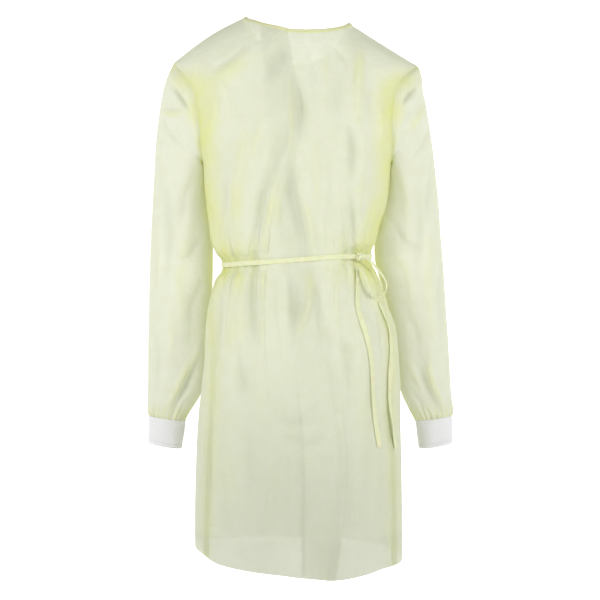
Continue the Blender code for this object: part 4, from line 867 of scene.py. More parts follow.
# Creases on both faces of the sleeves, in the columns of the body's folds
SLEEVE_FOLDS = {
    LEFT: (
        (BACK, -242, -134, -228, -158, -210, -184, 4.5, -8.5),
        (BACK, -266, -186, -240, -190, -218, -188, 7, 6),
        (BACK, -262, -300, -255, -420, -265, -540, 14, -3.5),
        (BACK, -215, -400, -235, -500, -232, -620, 13, 3.5),
        (BACK, -205, -690, -225, -735, -250, -785, 8, -6),
        (BACK, -216, -676, -240, -735, -264, -780, 7, 5.6),
        (BACK, -252, -105, -240, -130, -222, -160, 5, 2.6),
        (BACK, -270, -190, -250, -230, -222, -262, 6, -2.8),
        (BACK, -276, -250, -262, -300, -240, -340, 8, 2.8),
        (BACK, -200, -300, -222, -350, -232, -420, 8, -3), (BACK, -286, -380, -276, -470, -284, -560, 9, 3),
        (BACK, -190, -430, -215, -470, -250, -490, 7, -3),
        (BACK, -190, -520, -212, -570, -214, -640, 8, -2.8),
        (BACK, -260, -560, -250, -630, -262, -700, 9, 2.8),
        (BACK, -290, -600, -280, -680, -288, -760, 8, -2.6),
        (BACK, -196, -640, -212, -690, -238, -730, 7, 3),
        (BACK, -220, -745, -236, -765, -246, -792, 5, 2.6),
        (FRONT, -260, -130, -240, -180, -220, -220, 9, -4),
        (FRONT, -270, -210, -250, -270, -220, -310, 9, 3.6),
        (FRONT, -250, -330, -256, -430, -240, -520, 11, -3.6),
        (FRONT, -200, -440, -230, -480, -270, -500, 8, 4),
        (FRONT, -200, -480, -230, -515, -275, -530, 7, -3.6),
        (FRONT, -270, -540, -262, -620, -272, -710, 10, 3.4),
        (FRONT, -215, -560, -225, -640, -235, -720, 9, -3.4),
        (FRONT, -240, -690, -255, -740, -262, -790, 7, 3.4),
    ),
    RIGHT: (
        (BACK, 236, -136, 218, -156, 200, -176, 4.5, -8.5), (BACK, 250, -170, 232, -200, 212, -230, 9, 5),
        (BACK, 240, -300, 248, -420, 240, -520, 14, -3.5), (BACK, 270, -380, 262, -500, 274, -640, 13, 3.5),
        (BACK, 245, -690, 262, -735, 290, -785, 8, -6), (BACK, 262, -690, 276, -735, 300, -782, 7, 5.6),
        (BACK, 248, -115, 236, -140, 222, -165, 5, 2.6), (BACK, 262, -215, 246, -255, 220, -290, 6, -2.8),
        (BACK, 200, -290, 216, -340, 222, -420, 8, 3), (BACK, 268, -280, 262, -360, 270, -430, 8, -2.8),
        (BACK, 190, -400, 212, -440, 242, -455, 7, -3.2), (BACK, 196, -460, 222, -500, 232, -560, 8, 3),
        (BACK, 290, -480, 284, -560, 292, -640, 9, -2.8), (BACK, 215, -570, 240, -620, 250, -690, 8, -3),
        (BACK, 270, -640, 266, -700, 276, -760, 7, 2.8), (BACK, 222, -680, 240, -715, 262, -750, 6, 3),
        (BACK, 232, -745, 250, -765, 262, -792, 5, -2.6), (FRONT, 250, -130, 234, -180, 214, -230, 9, -4),
        (FRONT, 262, -230, 246, -290, 220, -330, 9, 3.6),
        (FRONT, 246, -360, 250, -450, 238, -540, 11, -3.6), (FRONT, 200, -430, 230, -470, 270, -480, 8, 4),
        (FRONT, 205, -470, 235, -505, 278, -520, 7, -3.6),
        (FRONT, 276, -560, 270, -640, 284, -720, 10, 3.4),
        (FRONT, 232, -580, 242, -660, 254, -740, 9, -3.4), (FRONT, 262, -700, 276, -745, 280, -790, 7, 3.4),
    ),
}
SLEEVE_ROUND = 2 * HIGH_STEPS
SLEEVE_STEPS = 300
PLEAT_COUNT = 23
PLEAT_DEPTH = 0.0021
PLEAT_REACH = 0.060
CUFF_TUCK = 0.0008
PUCKER_COUNT = 58
PUCKER_DEPTH = 0.0006
# Painted light: the sleeves take a paler copy of the body's cloth colours
SLEEVE_LIT_COLOUR = (0.850, 0.868, 0.690)
SLEEVE_LIT_PALE = (0.915, 0.928, 0.840)
SLEEVE_COVER = 0.90
UNDER_ARM_TURN = 52


def superellipse(turn):
    along, beside = np.cos(turn), np.sin(turn)
    power = 2 / ARM_SQUARENESS
    return np.sign(along) * np.abs(along) ** power, np.sign(beside) * np.abs(beside) ** power


def smooth_through(places, rings, at):
    """Rings between rings, on smooth curves that pass through each of them."""
    slope = np.zeros_like(rings)
    step = np.diff(places)
    secant = np.diff(rings, axis=0) / step[:, None, None]
    weight = (step[:-1] / (step[:-1] + step[1:]))[:, None, None]
    slope[1:-1] = secant[:-1] * (1 - weight) + secant[1:] * weight
    slope[0], slope[-1] = secant[0], secant[-1]
    i = np.clip(np.searchsorted(places, at) - 1, 0, len(step) - 1)
    t = ((at - places[i]) / step[i])[:, None, None]
    return between(rings, slope, i, t, step[i][:, None, None])


def armhole_ring(side):
    """The panels' armhole edges as one ring, from the shoulder down the back and up the front."""
    back = panels["back_left"][:, 0] if side == LEFT else panels["back_right"][:, -1]
    front = panels["front"][:, 0 if side == LEFT else -1]
    back, front = back[-(HIGH_STEPS + 1) :], front[-(HIGH_STEPS + 1) :]
    ring = np.concatenate([back[::-1], front[1:-1]])
    ring[0] = (back[-1] + front[-1]) / 2
    ring[HIGH_STEPS] = (back[0] + front[0]) / 2
    return ring


def plain_sleeve(side, turn):
    """The sleeve without its creases: points, distance down it at each row, and its middle depth there."""
    across, deep = superellipse(turn)
    seam = armhole_ring(side)
    chord = (seam[0] + seam[HIGH_STEPS]) / 2 + (seam[0] - seam[HIGH_STEPS]) / 2 * np.cos(turn)[:, None]
    rings = [seam]
    for number, row in enumerate(np.array(RINGS) / 1000):
        outer_x, inner_x = row[:2] if side == LEFT else row[2:4]
        outer_z, inner_z, middle_y, half_depth = row[4:]
        x = side * ((outer_x + inner_x) / 2 + (outer_x - inner_x) / 2 * across)
        z = (outer_z + inner_z) / 2 + (outer_z - inner_z) / 2 * across
        ring = np.stack([x, middle_y - half_depth * deep, z], axis=-1)
        if number < len(CAP_BULGES):
            ring[:, 0] += (seam[:, 0] - chord[:, 0]) * CAP_BULGES[number]
        rings.append(ring)
    rings = np.array(rings)
    apart = np.linalg.norm(np.diff(rings, axis=0), axis=-1).mean(axis=1)
    places = np.concatenate([[0], np.cumsum(apart)])
    at = np.linspace(0, places[-1], SLEEVE_STEPS)
    middles = np.concatenate([[0], [row[6] / 1000 for row in RINGS]])
    return smooth_through(places, rings, at), at, np.interp(at, places, middles)[:, None]


def sleeve_grid(side, turn):
    """The sleeve's points with its creases, pleats at the cuff and puckers at the armhole."""
    grid, at, middle_y = plain_sleeve(side, turn)
    way = grid_outward(grid, closed=True)
    if way[SLEEVE_STEPS // 2, 0, 0] * side < 0:
        way = -way
    x, y, z = grid[..., 0], grid[..., 1], grid[..., 2]
    to_cuff = (at[-1] - at)[:, None]
    raised = np.zeros(x.shape)
    for face, *sizes in SLEEVE_FOLDS[side]:
        raised += ease(face * (y - middle_y) / 0.02) * fold_raise(x, z, sizes)
    raised *= ease(at / 0.02)[:, None] * ease(to_cuff / 0.01)
    wave = np.cos(PLEAT_COUNT * turn + 1.4 * np.sin(3 * turn + side) + 0.8 * np.sin(5 * turn + 0.6))
    uneven = 0.62 + 0.38 * np.sin(4 * turn + 1.1 * side)
    reach = PLEAT_REACH * (0.62 + 0.38 * np.sin(7 * turn + 0.5))
    raised += PLEAT_DEPTH * (wave * uneven)[None, :] * (1 - ease(to_cuff / reach[None, :]))
    raised -= CUFF_TUCK * (1 - ease(to_cuff / 0.006))
    pucker = np.cos(PUCKER_COUNT * turn + 2.2 * np.sin(4 * turn)) * (0.6 + 0.4 * np.sin(6 * turn + side))
    raised += PUCKER_DEPTH * pucker[None, :] * ease(at / 0.004)[:, None] * (1 - ease(at / 0.022))[:, None]
    return grid + way * raised[..., None], way, raised


def sleeve_yellow_and_highlight(turn, raised):
    """Yellow under the arm, at the armhole and in the pleats at the cuff, and painted highlight on the
    ridges.
    """
    turn, down = turn[None, :], np.linspace(0, 1, SLEEVE_STEPS)[:, None]
    under_arm = 1 - ease(np.abs(turn - np.pi) / np.radians(UNDER_ARM_TURN))
    under_arm = under_arm * (0.8 + 0.2 * np.sin(down * 40)) * (1 - 0.6 * ease((down - 0.55) / 0.4))
    cap = 0.6 * (1 - ease(down / 0.05)) * (0.7 + 0.3 * np.sin(9 * turn))
    pleats = 0.45 * ease((down - 0.93) / 0.07) * (0.6 + 0.4 * np.sin(PLEAT_COUNT * turn))
    # The ridge term is painted highlight
    return 0.9 * (under_arm + 0.35 * ease(raised / 0.006)) + cap + pleats


sleeve_turn = 2 * np.pi * np.arange(SLEEVE_ROUND) / SLEEVE_ROUND
for side, side_name in ((LEFT, "left"), (RIGHT, "right")):
    sleeve_name = "sleeve_" + side_name
    points, ways, raised = sleeve_grid(side, sleeve_turn)
    sleeve_cloth = nonwoven(sleeve_name + "_cloth", SLEEVE_LIT_COLOUR, SLEEVE_LIT_PALE, SLEEVE_COVER)
    sleeve = sheet_object(sleeve_name + "_tube", points, sleeve_cloth, closed=True)
    # Painted shade: the second tone greys the sleeve's fold troughs
    toned(sleeve, sleeve_yellow_and_highlight(sleeve_turn, raised), 0.40 * ease(-raised / 0.007))
    stand_for(sleeve_name)
    from_under = [np.roll(grid, -HIGH_STEPS, axis=1) for grid in (points, ways)]
    from_cap = [np.concatenate([grid, grid[:, :1]], axis=1).transpose(1, 0, 2) for grid in (points, ways)]
    for seam_name, grids in (("_under_seam", from_under), ("_cap_seam", from_cap)):
        sheet_object(sleeve_name + seam_name, edge_strip(*grids), seam_cloth)

# Cuffs
# Tubes of white knit rib, folded double at the wrist edge, overlocked onto the gathered sleeve end with a
# thin raised seam, and stitched round about 8 mm above the edge.
# Columns: outer_x, outer_z, inner_x, inner_z
CUFF_TOP = {LEFT: (0.3040, -0.7966, 0.2285, -0.8068), RIGHT: (0.3180, -0.7966, 0.2426, -0.8068)}
CUFF_END = {LEFT: (0.3060, -0.8514, 0.2366, -0.8636), RIGHT: (0.3200, -0.8514, 0.2507, -0.8636)}
# Middle depth and half depth, at the top and at the end
CUFF_Y = (0.062, 0.064)
CUFF_HALF_DEPTH = (0.0285, 0.0275)
CUFF_WALL = 0.0020
CUFF_RIBS = 84
CUFF_RIB_POINTS = 4
CUFF_STEPS = 46
CUFF_INNER_STEPS = 16
FOLD_BULGE = 0.018
RIB_RAISE = 0.00030
CUFF_STITCH_SHARE = 0.865
CUFF_STITCHES = 52
STITCH_SHARE = 0.66
CUFF_THREAD = 0.0005
CUFF_THREAD_OUT = 0.0002
KNIT_GREY_AND_SHADE = (0.86, 0.86, 0.86)
KNIT_WHITE = (0.93, 0.93, 0.935)
WHITE_THREAD = (0.74, 0.74, 0.73)
WALES_PER_METRE = 900.0
COURSES_PER_METRE = 5200.0


def cuff_place(side, share, turn, moved):
    """Points of the cuff at shares of its length and turns round it, moved outwards."""
    top, end = np.array(CUFF_TOP[side]), np.array(CUFF_END[side])
    outer_x, outer_z, inner_x, inner_z = [top[k] + (end[k] - top[k]) * share for k in range(4)]
    y = CUFF_Y[0] + (CUFF_Y[1] - CUFF_Y[0]) * share
    deep = CUFF_HALF_DEPTH[0] + (CUFF_HALF_DEPTH[1] - CUFF_HALF_DEPTH[0]) * share
    across, depth = superellipse(turn)
    plain = (outer_x - inner_x) / 2
    half_x = plain + moved
    half_z = (outer_z - inner_z) / 2 * half_x / plain
    x = side * ((outer_x + inner_x) / 2 + half_x * across)
    return np.stack([x, y - (deep + moved) * depth, (outer_z + inner_z) / 2 + half_z * across], axis=-1)


def cuff_grid(side):
    """Sections down the ribbed outside, round the fold, up the inside and over the top edge."""
    turn = (2 * np.pi * np.arange(CUFF_RIBS * CUFF_RIB_POINTS) / (CUFF_RIBS * CUFF_RIB_POINTS))[None, :]
    share = np.linspace(0, 1, CUFF_STEPS)[:, None]
    from_stitch = share - CUFF_STITCH_SHARE
    rib = np.cos(CUFF_RIBS * turn + 0.10 * np.sin(9 * share * np.pi + 3 * turn))
    rib = RIB_RAISE * np.sign(rib) * np.abs(rib) ** 0.7
    ribbed = ease((share - 0.07) / 0.04) * (1 - 0.55 * bell(from_stitch / 0.016))
    ribbed = ribbed * (1 - 0.8 * ease((share - 0.975) / 0.025))
    soft = 0.0009 * np.sin(3 * turn + 2.0 * share + side) + 0.0006 * np.sin(5 * turn - 3.1 * share)
    soft = soft * np.sin(np.pi * np.clip(share * 1.02, 0, 1))
    overlock = 0.0010 * bell((share - 0.030) / 0.017) * (1 + 0.25 * np.cos(2.5 * CUFF_RIBS * turn))
    stitched = -0.0005 * bell(from_stitch / 0.010)
    tuck = -0.0007 * bell((share - 0.085) / 0.018)
    outer = cuff_place(side, share, turn, rib * ribbed + soft + overlock + stitched + tuck)
    end_turn = np.linspace(0, np.pi, 6)[1:-1][:, None]
    bulge, middle = FOLD_BULGE * np.sin(end_turn), -CUFF_WALL / 2
    lower = cuff_place(side, 1 + bulge, turn, middle + (CUFF_WALL / 2 - 0.0003) * np.cos(end_turn))
    upper = cuff_place(side, -bulge, turn, middle - (CUFF_WALL / 2 - 0.0002) * np.cos(end_turn))
    inner = cuff_place(side, np.linspace(1, 0, CUFF_INNER_STEPS)[:, None], turn, -CUFF_WALL)
    return np.concatenate([outer, lower, inner, upper])


def knit(name):
    """White ribbed knit: V-shaped loops in wales along the cuff, with a little fuzz, greyer where the loops
    sink as painted shade.
    """
    rib = Finish(name)
    cut = rib.add("UVMap", {}, "UV", uv_map="cut")
    across, along = (rib.add("SeparateXYZ", {"Vector": cut}, axis) for axis in "XY")
    lean = rib.maths("ABSOLUTE", rib.maths("SINE", rib.maths("MULTIPLY", across, WALES_PER_METRE)))
    courses = rib.maths("MULTIPLY", along, COURSES_PER_METRE)
    loops = rib.maths("SINE", rib.maths("ADD", courses, rib.maths("MULTIPLY", lean, 2.2)))
    height = rib.maths("MULTIPLY", rib.maths("ADD", loops, 1.0), rib.maths("ADD", lean, 0.35))
    fuzz = rib.noise(420, 4)
    relief = rib.bump(fuzz, 0.18, 0.0004, rib.bump(height, 0.30, 0.00018))
    # Painted shade: the knit is greyer where its loops are low, and greyer at random with the fuzz
    mixed = rib.maths("ADD", rib.maths("MULTIPLY", height, 0.16), rib.maths("MULTIPLY", fuzz, 0.65))
    tint = rib.shades(mixed, 0.25, KNIT_GREY_AND_SHADE, 0.70, KNIT_WHITE)
    look = {"Base Color": tint, "Normal": relief, "Roughness": rib.range(fuzz, 0.80, 0.98)}
    rib.feed(rib.surface, {**look, "Sheen Weight": 0.3, "Specular IOR Level": 0.2})
    return rib.material


def thread(name, colour):
    """Spun polyester sewing thread, twisted and slightly glossy, darker in the grooves of the twist as
    painted shade.
    """
    yarn = Finish(name)
    wave = {"Vector": yarn.place, "Scale": 900, "Distortion": 2.0}
    twist = yarn.add("TexWave", wave, "Fac")
    # Painted shade: the thread is darker in the grooves of its twist
    tint = yarn.shades(twist, 0.0, [c * 0.82 for c in colour], 1.0, colour)
    yarn.feed(yarn.surface, {"Base Color": tint, "Normal": yarn.bump(twist, 0.5, 0.0002), "Roughness": 0.55})
    return yarn.material


def closed_object(name, sections, material, ends):
    """A closed tube through sections of equal numbers of points. ends is capped or joined."""
    count, size = sections.shape[:2]
    points = sections.reshape(-1, 3)
    runs = count if ends == "joined" else count - 1
    k, j = np.meshgrid(np.arange(runs), np.arange(size), indexing="ij")
    following, beside = (k + 1) % count, (j + 1) % size
    corners = [(k, j), (k, beside), (following, beside), (following, j)]
    faces = np.stack([a * size + b for a, b in corners], axis=-1).reshape(-1, 4)
    around = np.linalg.norm(np.roll(sections, -1, axis=1) - sections, axis=-1).mean(axis=0)
    onward = np.linalg.norm(np.roll(sections, -1, axis=0) - sections, axis=-1).mean(axis=1)
    u, v = (np.concatenate([[0], np.cumsum(steps)]) for steps in (around, onward))
    uv = [np.stack([u[j + (b is beside)], v[k + (a is following)]], axis=-1) for a, b in corners]
    uv = np.stack(uv, axis=2).reshape(-1, 4, 2)
    quad = points[faces]
    volume = np.cross(quad[:, 0], quad[:, 1]) * quad[:, 2] + np.cross(quad[:, 0], quad[:, 2]) * quad[:, 3]
    inside_out = np.sum(volume) < 0
    if inside_out:
        faces, uv = faces[:, ::-1], uv[:, ::-1]
    faces = faces.tolist()
    uv = uv.reshape(-1, 2).tolist()
    if ends == "capped":
        for start, flip in ((0, not inside_out), ((count - 1) * size, inside_out)):
            for n in range(size // 2 - 1):
                face = [start + n, start + n + 1, start + size - 2 - n, start + size - 1 - n]
                faces.append(face[::-1] if flip else face)
                uv += [(0.0, 0.0)] * 4
    made = new_object(name, points.tolist(), faces, material, uv)
    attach(made, "root")
    return made


# A stitch from end to end. Columns: share of its length, lift and width in thicknesses of the thread
STITCH_PROFILE = ((0.0, -0.3, 0.5), (0.25, 0.55, 1.0), (0.5, 0.75, 1.0), (0.75, 0.55, 1.0), (1.0, -0.3, 0.5))
THREAD_ROUND = 6


def thread_stitches(name, starts, ends, ways, thick, material):
    """Short stitches of thread lying on the cloth, each a low ridge sunk at both ends."""
    along = ends - starts
    beside = unit(np.cross(ways, along))
    rings = []
    for share, lift, wide in STITCH_PROFILE:
        for j in range(THREAD_ROUND):
            turn = 2 * math.pi * j / THREAD_ROUND
            offset = ways * (thick * (lift + 0.5 * wide * math.sin(turn)))
            offset = offset + beside * (thick * 0.5 * wide * math.cos(turn))
            rings.append(starts + along * share + offset)
    rings = np.array(rings).transpose(1, 0, 2)
    each = len(STITCH_PROFILE) * THREAD_ROUND
    faces = []
    for base in range(0, len(rings) * each, each):
        for ring in range(base, base + each - THREAD_ROUND, THREAD_ROUND):
            for j in range(THREAD_ROUND):
                here, beside = ring + j, ring + (j + 1) % THREAD_ROUND
                faces.append((here, here + THREAD_ROUND, beside + THREAD_ROUND, beside))
        faces.append(tuple(range(base, base + THREAD_ROUND)))
        faces.append(tuple(range(base + each - 1, base + each - 1 - THREAD_ROUND, -1)))
    made = new_object(name, rings.reshape(-1, 3).tolist(), faces, material)
    bpy.ops.object.select_all(action="DESELECT")
    made.select_set(True)
    bpy.context.view_layer.objects.active = made
    bpy.ops.object.mode_set(mode="EDIT")
    bpy.ops.mesh.select_all(action="SELECT")
    bpy.ops.mesh.normals_make_consistent(inside=False)
    bpy.ops.object.mode_set(mode="OBJECT")
    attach(made, "root")
    return made


white_thread = thread("white_thread", WHITE_THREAD)
stitch_turn = 2 * np.pi * np.arange(CUFF_STITCHES) / CUFF_STITCHES
stitch_reach = 2 * np.pi / CUFF_STITCHES * STITCH_SHARE
for side, side_name in ((LEFT, "left"), (RIGHT, "right")):
    cuff_name = "cuff_" + side_name
    cuff = closed_object(cuff_name + "_rib", cuff_grid(side), knit(cuff_name + "_knit"), "joined")
    stand_for(cuff_name)
    starts, stops, middles, outside = (
        cuff_place(side, CUFF_STITCH_SHARE, stitch_turn + reach, CUFF_THREAD_OUT + out)
        for reach, out in ((0, 0), (stitch_reach, 0), (stitch_reach / 2, 0), (stitch_reach / 2, 0.01))
    )
    outs = unit(outside - middles)
    stitches = thread_stitches(cuff_name + "_stitches", starts, stops, outs, CUFF_THREAD, white_thread)

# Neck binding
# A narrow bias strip of denser yellow cloth, folded over the raw neckline of all three panels from one free
# edge round to the other, and held with one row of stitches along its lower edge.
BINDING_STATIONS = 420
BINDING_YELLOW = (0.815, 0.835, 0.430)
BINDING_PALE = (0.885, 0.900, 0.580)
YELLOW_THREAD = (0.80, 0.81, 0.36)
NECK_STITCH_PITCH = 0.0030
NECK_STITCH_SHARE = 0.72
NECK_STITCH_OUT = 0.00085
NECK_STITCH_DOWN = 0.0012
NECK_THREAD = 0.00042
# The strip's profile: up the outside, over the fold and down the inside. Columns: out, up, in millimetres
BINDING_PROFILE = (
    (0.3, -2.6), (0.55, -2.8), (0.8, -2.4), (0.85, -1.2), (0.9, 0.6), (0.95, 2.6), (0.8, 4.8), (0.35, 6.4),
    (-0.5, 6.9), (-1.35, 6.4), (-1.8, 4.8), (-1.95, 2.6), (-1.9, 0.6), (-1.85, -1.2), (-1.8, -2.2),
    (-1.5, -2.6), (-1.25, -2.2), (-0.6, 0.2), (-0.2, 0.3), (0.1, -2.2),
)


def outward(points, side, face):
    """The plain body's outward directions. face says which armhole line its width follows."""
    x, y, z = points[..., 0], points[..., 1], points[..., 2]
    tiny = 0.0005

    def deep_of(level):
        return np.maximum(np.where(y > 0, depth_at(level, FRONT), depth_at(level, BACK)), 1e-5)

    wide, deep = half_width(z, side, face), deep_of(z)
    wide_slope = (half_width(z + tiny, side, face) - half_width(z - tiny, side, face)) / (2 * tiny)
    deep_slope = (deep_of(z + tiny) - deep_of(z - tiny)) / (2 * tiny)
    across = (np.abs(x) / wide) ** (SQUARENESS - 1) / wide
    along = (np.abs(y) / deep) ** (SQUARENESS - 1) / deep
    rise = -(across * np.abs(x) / wide * wide_slope + along * np.abs(y) / deep * deep_slope)
    return unit(np.stack([side * across, np.where(y > 0, 1, -1) * along, rise], axis=-1))


def dense_cloth(name, colour, pale):
    """Several layers of the nonwoven pressed together: opaque, more yellow and crumpled."""
    cloth = Finish(name)
    cloud = cloth.noise(160, 6, 0.65)
    relief = bonding_points(cloth, cloth.bump(cloud, 0.6, 0.0012))
    tint = cloth.shades(cloud, 0.34, colour, 0.66, pale)
    look = {"Base Color": tint, "Normal": relief, "Roughness": cloth.range(cloud, 0.55, 0.80)}
    depth = {"Subsurface Weight": 0.15, "Subsurface Scale": 0.002}
    cloth.feed(cloth.surface, {**look, **depth, "Sheen Weight": 0.15, "Specular IOR Level": 0.3})
    return cloth.material


def neck_edge():
    """The panels' top edges as one line, from the lapping free edge round to the other free edge."""
    over, front, under = panels["back_left"][-1], panels["front"][-1], panels["back_right"][-1]
    left, right = (SHOULDERS[side][0] + 1e-4 for side in (LEFT, RIGHT))
    over = over[over[:, 0] > -left][::-1]
    front = front[(front[:, 0] > -left) & (front[:, 0] < right)][1:-1]
    under = under[under[:, 0] < right][::-1]
    faces = [np.full(len(line), face) for line, face in ((over, BACK), (front, FRONT), (under, BACK))]
    return np.concatenate([over, front, under]), np.concatenate(faces)


def evenly(points, count, *others):
    """Points at even distances along a line, with other values read at the same places."""
    at = run_along(points)
    places = np.linspace(0, at[-1], count)
    columns = [[np.interp(places, at, values[:, i]) for i in range(3)] for values in (points, *others)]
    return (*(np.stack(found, 1) for found in columns), places)


def running_mean(values, reach):
    """Evens out rows of values along a line."""
    padded = np.concatenate([values[:1].repeat(reach, 0), values, values[-1:].repeat(reach, 0)])
    total = np.cumsum(np.concatenate([np.zeros_like(padded[:1]), padded]), axis=0)
    return (total[2 * reach + 1 :] - total[: -(2 * reach + 1)]) / (2 * reach + 1)


def swept(line, wide_way, wide, thick_way, thick):
    """Sections along a line, each with its points set out across its width and its thickness."""
    return line[:, None] + wide_way[:, None] * wide[..., None] + thick_way[:, None] * thick[..., None]


edge_line, edge_faces = neck_edge()
edge_side = side_of(edge_line[:, 0])
back_ways, front_ways = (outward(edge_line, edge_side, face) for face in (BACK, FRONT))
edge_ways = np.where((edge_faces == BACK)[:, None], back_ways, front_ways)
edge_line, edge_ways, edge_at = evenly(edge_line, BINDING_STATIONS, edge_ways)
edge_line = running_mean(edge_line, 2)
edge_ways = unit(running_mean(edge_ways, 9))
edge_up = np.cross(edge_ways, np.gradient(edge_line, axis=0))
edge_up = unit(edge_up * np.sign(edge_up[:, 2:]))
wander = 0.22 * np.sin(edge_at / 0.0061) + 0.16 * np.sin(edge_at / 0.0027 + 1.0)
wander = wander + 0.12 * np.sin(edge_at / 0.0193)
profile = np.array(BINDING_PROFILE) / 1000
out = profile[None, :, 0] * (1 + 0.10 * np.sin(edge_at / 0.0043)[:, None])
up = profile[None, :, 1] + (wander / 1000 * 0.6)[:, None] * np.sign(profile[None, :, 1])
binding_cloth = dense_cloth("neck_binding_cloth", BINDING_YELLOW, BINDING_PALE)
sections = swept(edge_line, edge_ways, out, edge_up, up)
binding = closed_object("neck_binding_strip", sections, binding_cloth, "capped")
stand_for("neck_binding")
yellow_thread = thread("yellow_thread", YELLOW_THREAD)
stitch_count = int(edge_at[-1] / NECK_STITCH_PITCH)
line, stitch_ways, stitch_up, _ = evenly(edge_line, stitch_count, edge_ways, edge_up)
line = line + stitch_ways * NECK_STITCH_OUT - stitch_up * NECK_STITCH_DOWN
stops = line[:-1] + (line[1:] - line[:-1]) * NECK_STITCH_SHARE
stitch_ways = stitch_ways[:-1]
neck_stitches = thread_stitches("neck_stitches", line[:-1], stops, stitch_ways, NECK_THREAD, yellow_thread)

# Waist tie
# One narrow folded strip of dense yellow cloth that goes once round the waist over the gathers, with a knot,
# a bow loop and two free ends on the right of the back.
TIE_WIDTH = 0.0095
TIE_THICK = 0.0012
TIE_GAP = 0.0007
TIE_YELLOW_CLOTH = (0.760, 0.785, 0.460)
TIE_PALE = (0.830, 0.850, 0.590)
BELT_STATIONS = 520
# The strip's crumples: their unit of length, and the three longest waves in that unit
CRUMPLE = 0.0011
CRUMPLE_LONG = 8.9
CRUMPLES_ROUND = 55
# A folded strip's section. Columns: share of the half width, then outer and inner face in thicknesses
STRIP_PROFILE = (
    (-1, 0.5, 0.5), (-0.97, 0.86, 0.14), (-0.84, 1, 0), (-0.55, 0.94, 0.06), (-0.2, 0.88, 0.08),
    (0.2, 0.9, 0.08), (0.55, 0.96, 0.04), (0.84, 1, 0), (0.97, 0.86, 0.14), (1, 0.5, 0.5),
)


def belt_stand_off(points):
    """How far the belt lies off the plain body: on the cloth, and over the lap where there is one."""
    x, y, z = points[..., 0], points[..., 1], points[..., 2]
    rise = ease((x - read(UNDER_EDGE, z) + 2 * LAP_RAMP + LAP_AHEAD) / LAP_RAMP)
    fall = 1 - ease((x - read(OVER_EDGE, z) - 0.004) / LAP_RAMP)
    return TIE_GAP + np.where(y > 0, 0, read(LAPS, z) * rise * fall)


def belt_place(turn, height):
    side = side_of(turn)
    points = level_point(turn, read(BELT_LINE, turn) + height, side)
    return points, outward(points, side, BACK)


def strip_sections(line, wide_way, thick_way, at, width, crumple, phase):
    """Sections of a folded strip along a line, with uneven edges and small crumples across it."""
    across, outer, inner = np.array(STRIP_PROFILE).T
    order = np.concatenate([across, across[-2:0:-1]])[None, :]
    lift = np.concatenate([outer, inner[-2:0:-1]])[None, :] - 0.5
    s = at[:, None] / CRUMPLE
    edge = 1 + 0.035 * np.sin(s / 5.3 + phase) + 0.025 * np.sin(s / 2.1 + 2 * phase) * np.sign(order)
    wave = np.sin(s / 3.7 + 1.9 * order + phase) + 0.7 * np.sin(s / 1.7 - 2.4 * order + phase * 3)
    wave = wave + 0.8 * np.sin(s / CRUMPLE_LONG + 3.0 * order)
    return swept(line, wide_way, order * edge * width / 2, thick_way, lift * TIE_THICK + crumple * wave)


belt_turn = -180 + 360 * (np.arange(BELT_STATIONS) + 0.5) / BELT_STATIONS
belt_edges, belt_ways = [], []
for height in (-TIE_WIDTH / 2, TIE_WIDTH / 2):
    edge, way = belt_place(belt_turn, height)
    belt_edges.append(edge + way * (belt_stand_off(edge) + TIE_THICK / 2)[:, None])
    belt_ways.append(way)
belt_line = (belt_edges[0] + belt_edges[1]) / 2
belt_step = np.linalg.norm(np.roll(belt_line, -1, axis=0) - belt_line, axis=-1)
belt_length = float(belt_step.sum())
belt_at = np.concatenate([[0], np.cumsum(belt_step)[:-1]])
belt_at = belt_at * (2 * np.pi * CRUMPLE * CRUMPLE_LONG * CRUMPLES_ROUND / belt_length)
belt_wide, belt_out = unit(belt_edges[1] - belt_edges[0]), unit(belt_ways[0] + belt_ways[1])
tie_cloth = dense_cloth("waist_tie_cloth", TIE_YELLOW_CLOTH, TIE_PALE)
sections = strip_sections(belt_line, belt_wide, belt_out, belt_at, TIE_WIDTH, 0.00016, 0.0)
belt = closed_object("waist_tie_band", sections, tie_cloth, "joined")
stand_for("waist_tie")


def smooth_route(points, step):
    """Points a step apart on a smooth curve through a route's own points."""
    at = run_along(points)
    places = np.linspace(0, at[-1], max(4, round(at[-1] / step)) + 1)
    return np.stack([smooth_lookup(at, points[:, i], places) for i in range(3)], axis=1), places


def strip_frame(line, wide):
    """The ways across a strip's width and its thickness, square to its line."""
    along = unit(np.gradient(line, axis=0))
    wide = unit(wide - along * np.sum(wide * along, axis=-1, keepdims=True))
    return wide, np.cross(along, wide)


# Knot and bow loop
# The strip is crossed and pulled tight: a turn up over the belt, two crossing turns beside it, and one flat
# loop that stands off the skirt edge on.
KNOT_TURN = 62.0
KNOT_ROUND = 28
# Turns of the knot. Columns: points across, out and up from the belt in millimetres, then width and thickness
KNOT_TURNS = (
    (((-4.5, 1.0, -6.5), (-3.4, 4.6, -4.5), (-1.6, 6.6, 0.0), (0.6, 5.4, 4.6), (1.8, 1.4, 8.2)), 8.0, 3.4),
    (((5.6, 0.8, -6.0), (4.8, 4.2, -3.2), (2.6, 5.4, 1.0), (-1.4, 4.2, 4.2), (-5.6, 1.0, 6.2)), 7.0, 3.0),
    (((-6.8, 1.4, 1.6), (-3.6, 4.0, -2.6), (0.6, 4.6, -5.2), (4.6, 2.8, -6.6), (6.6, 0.6, -8.4)), 6.5, 2.8),
)
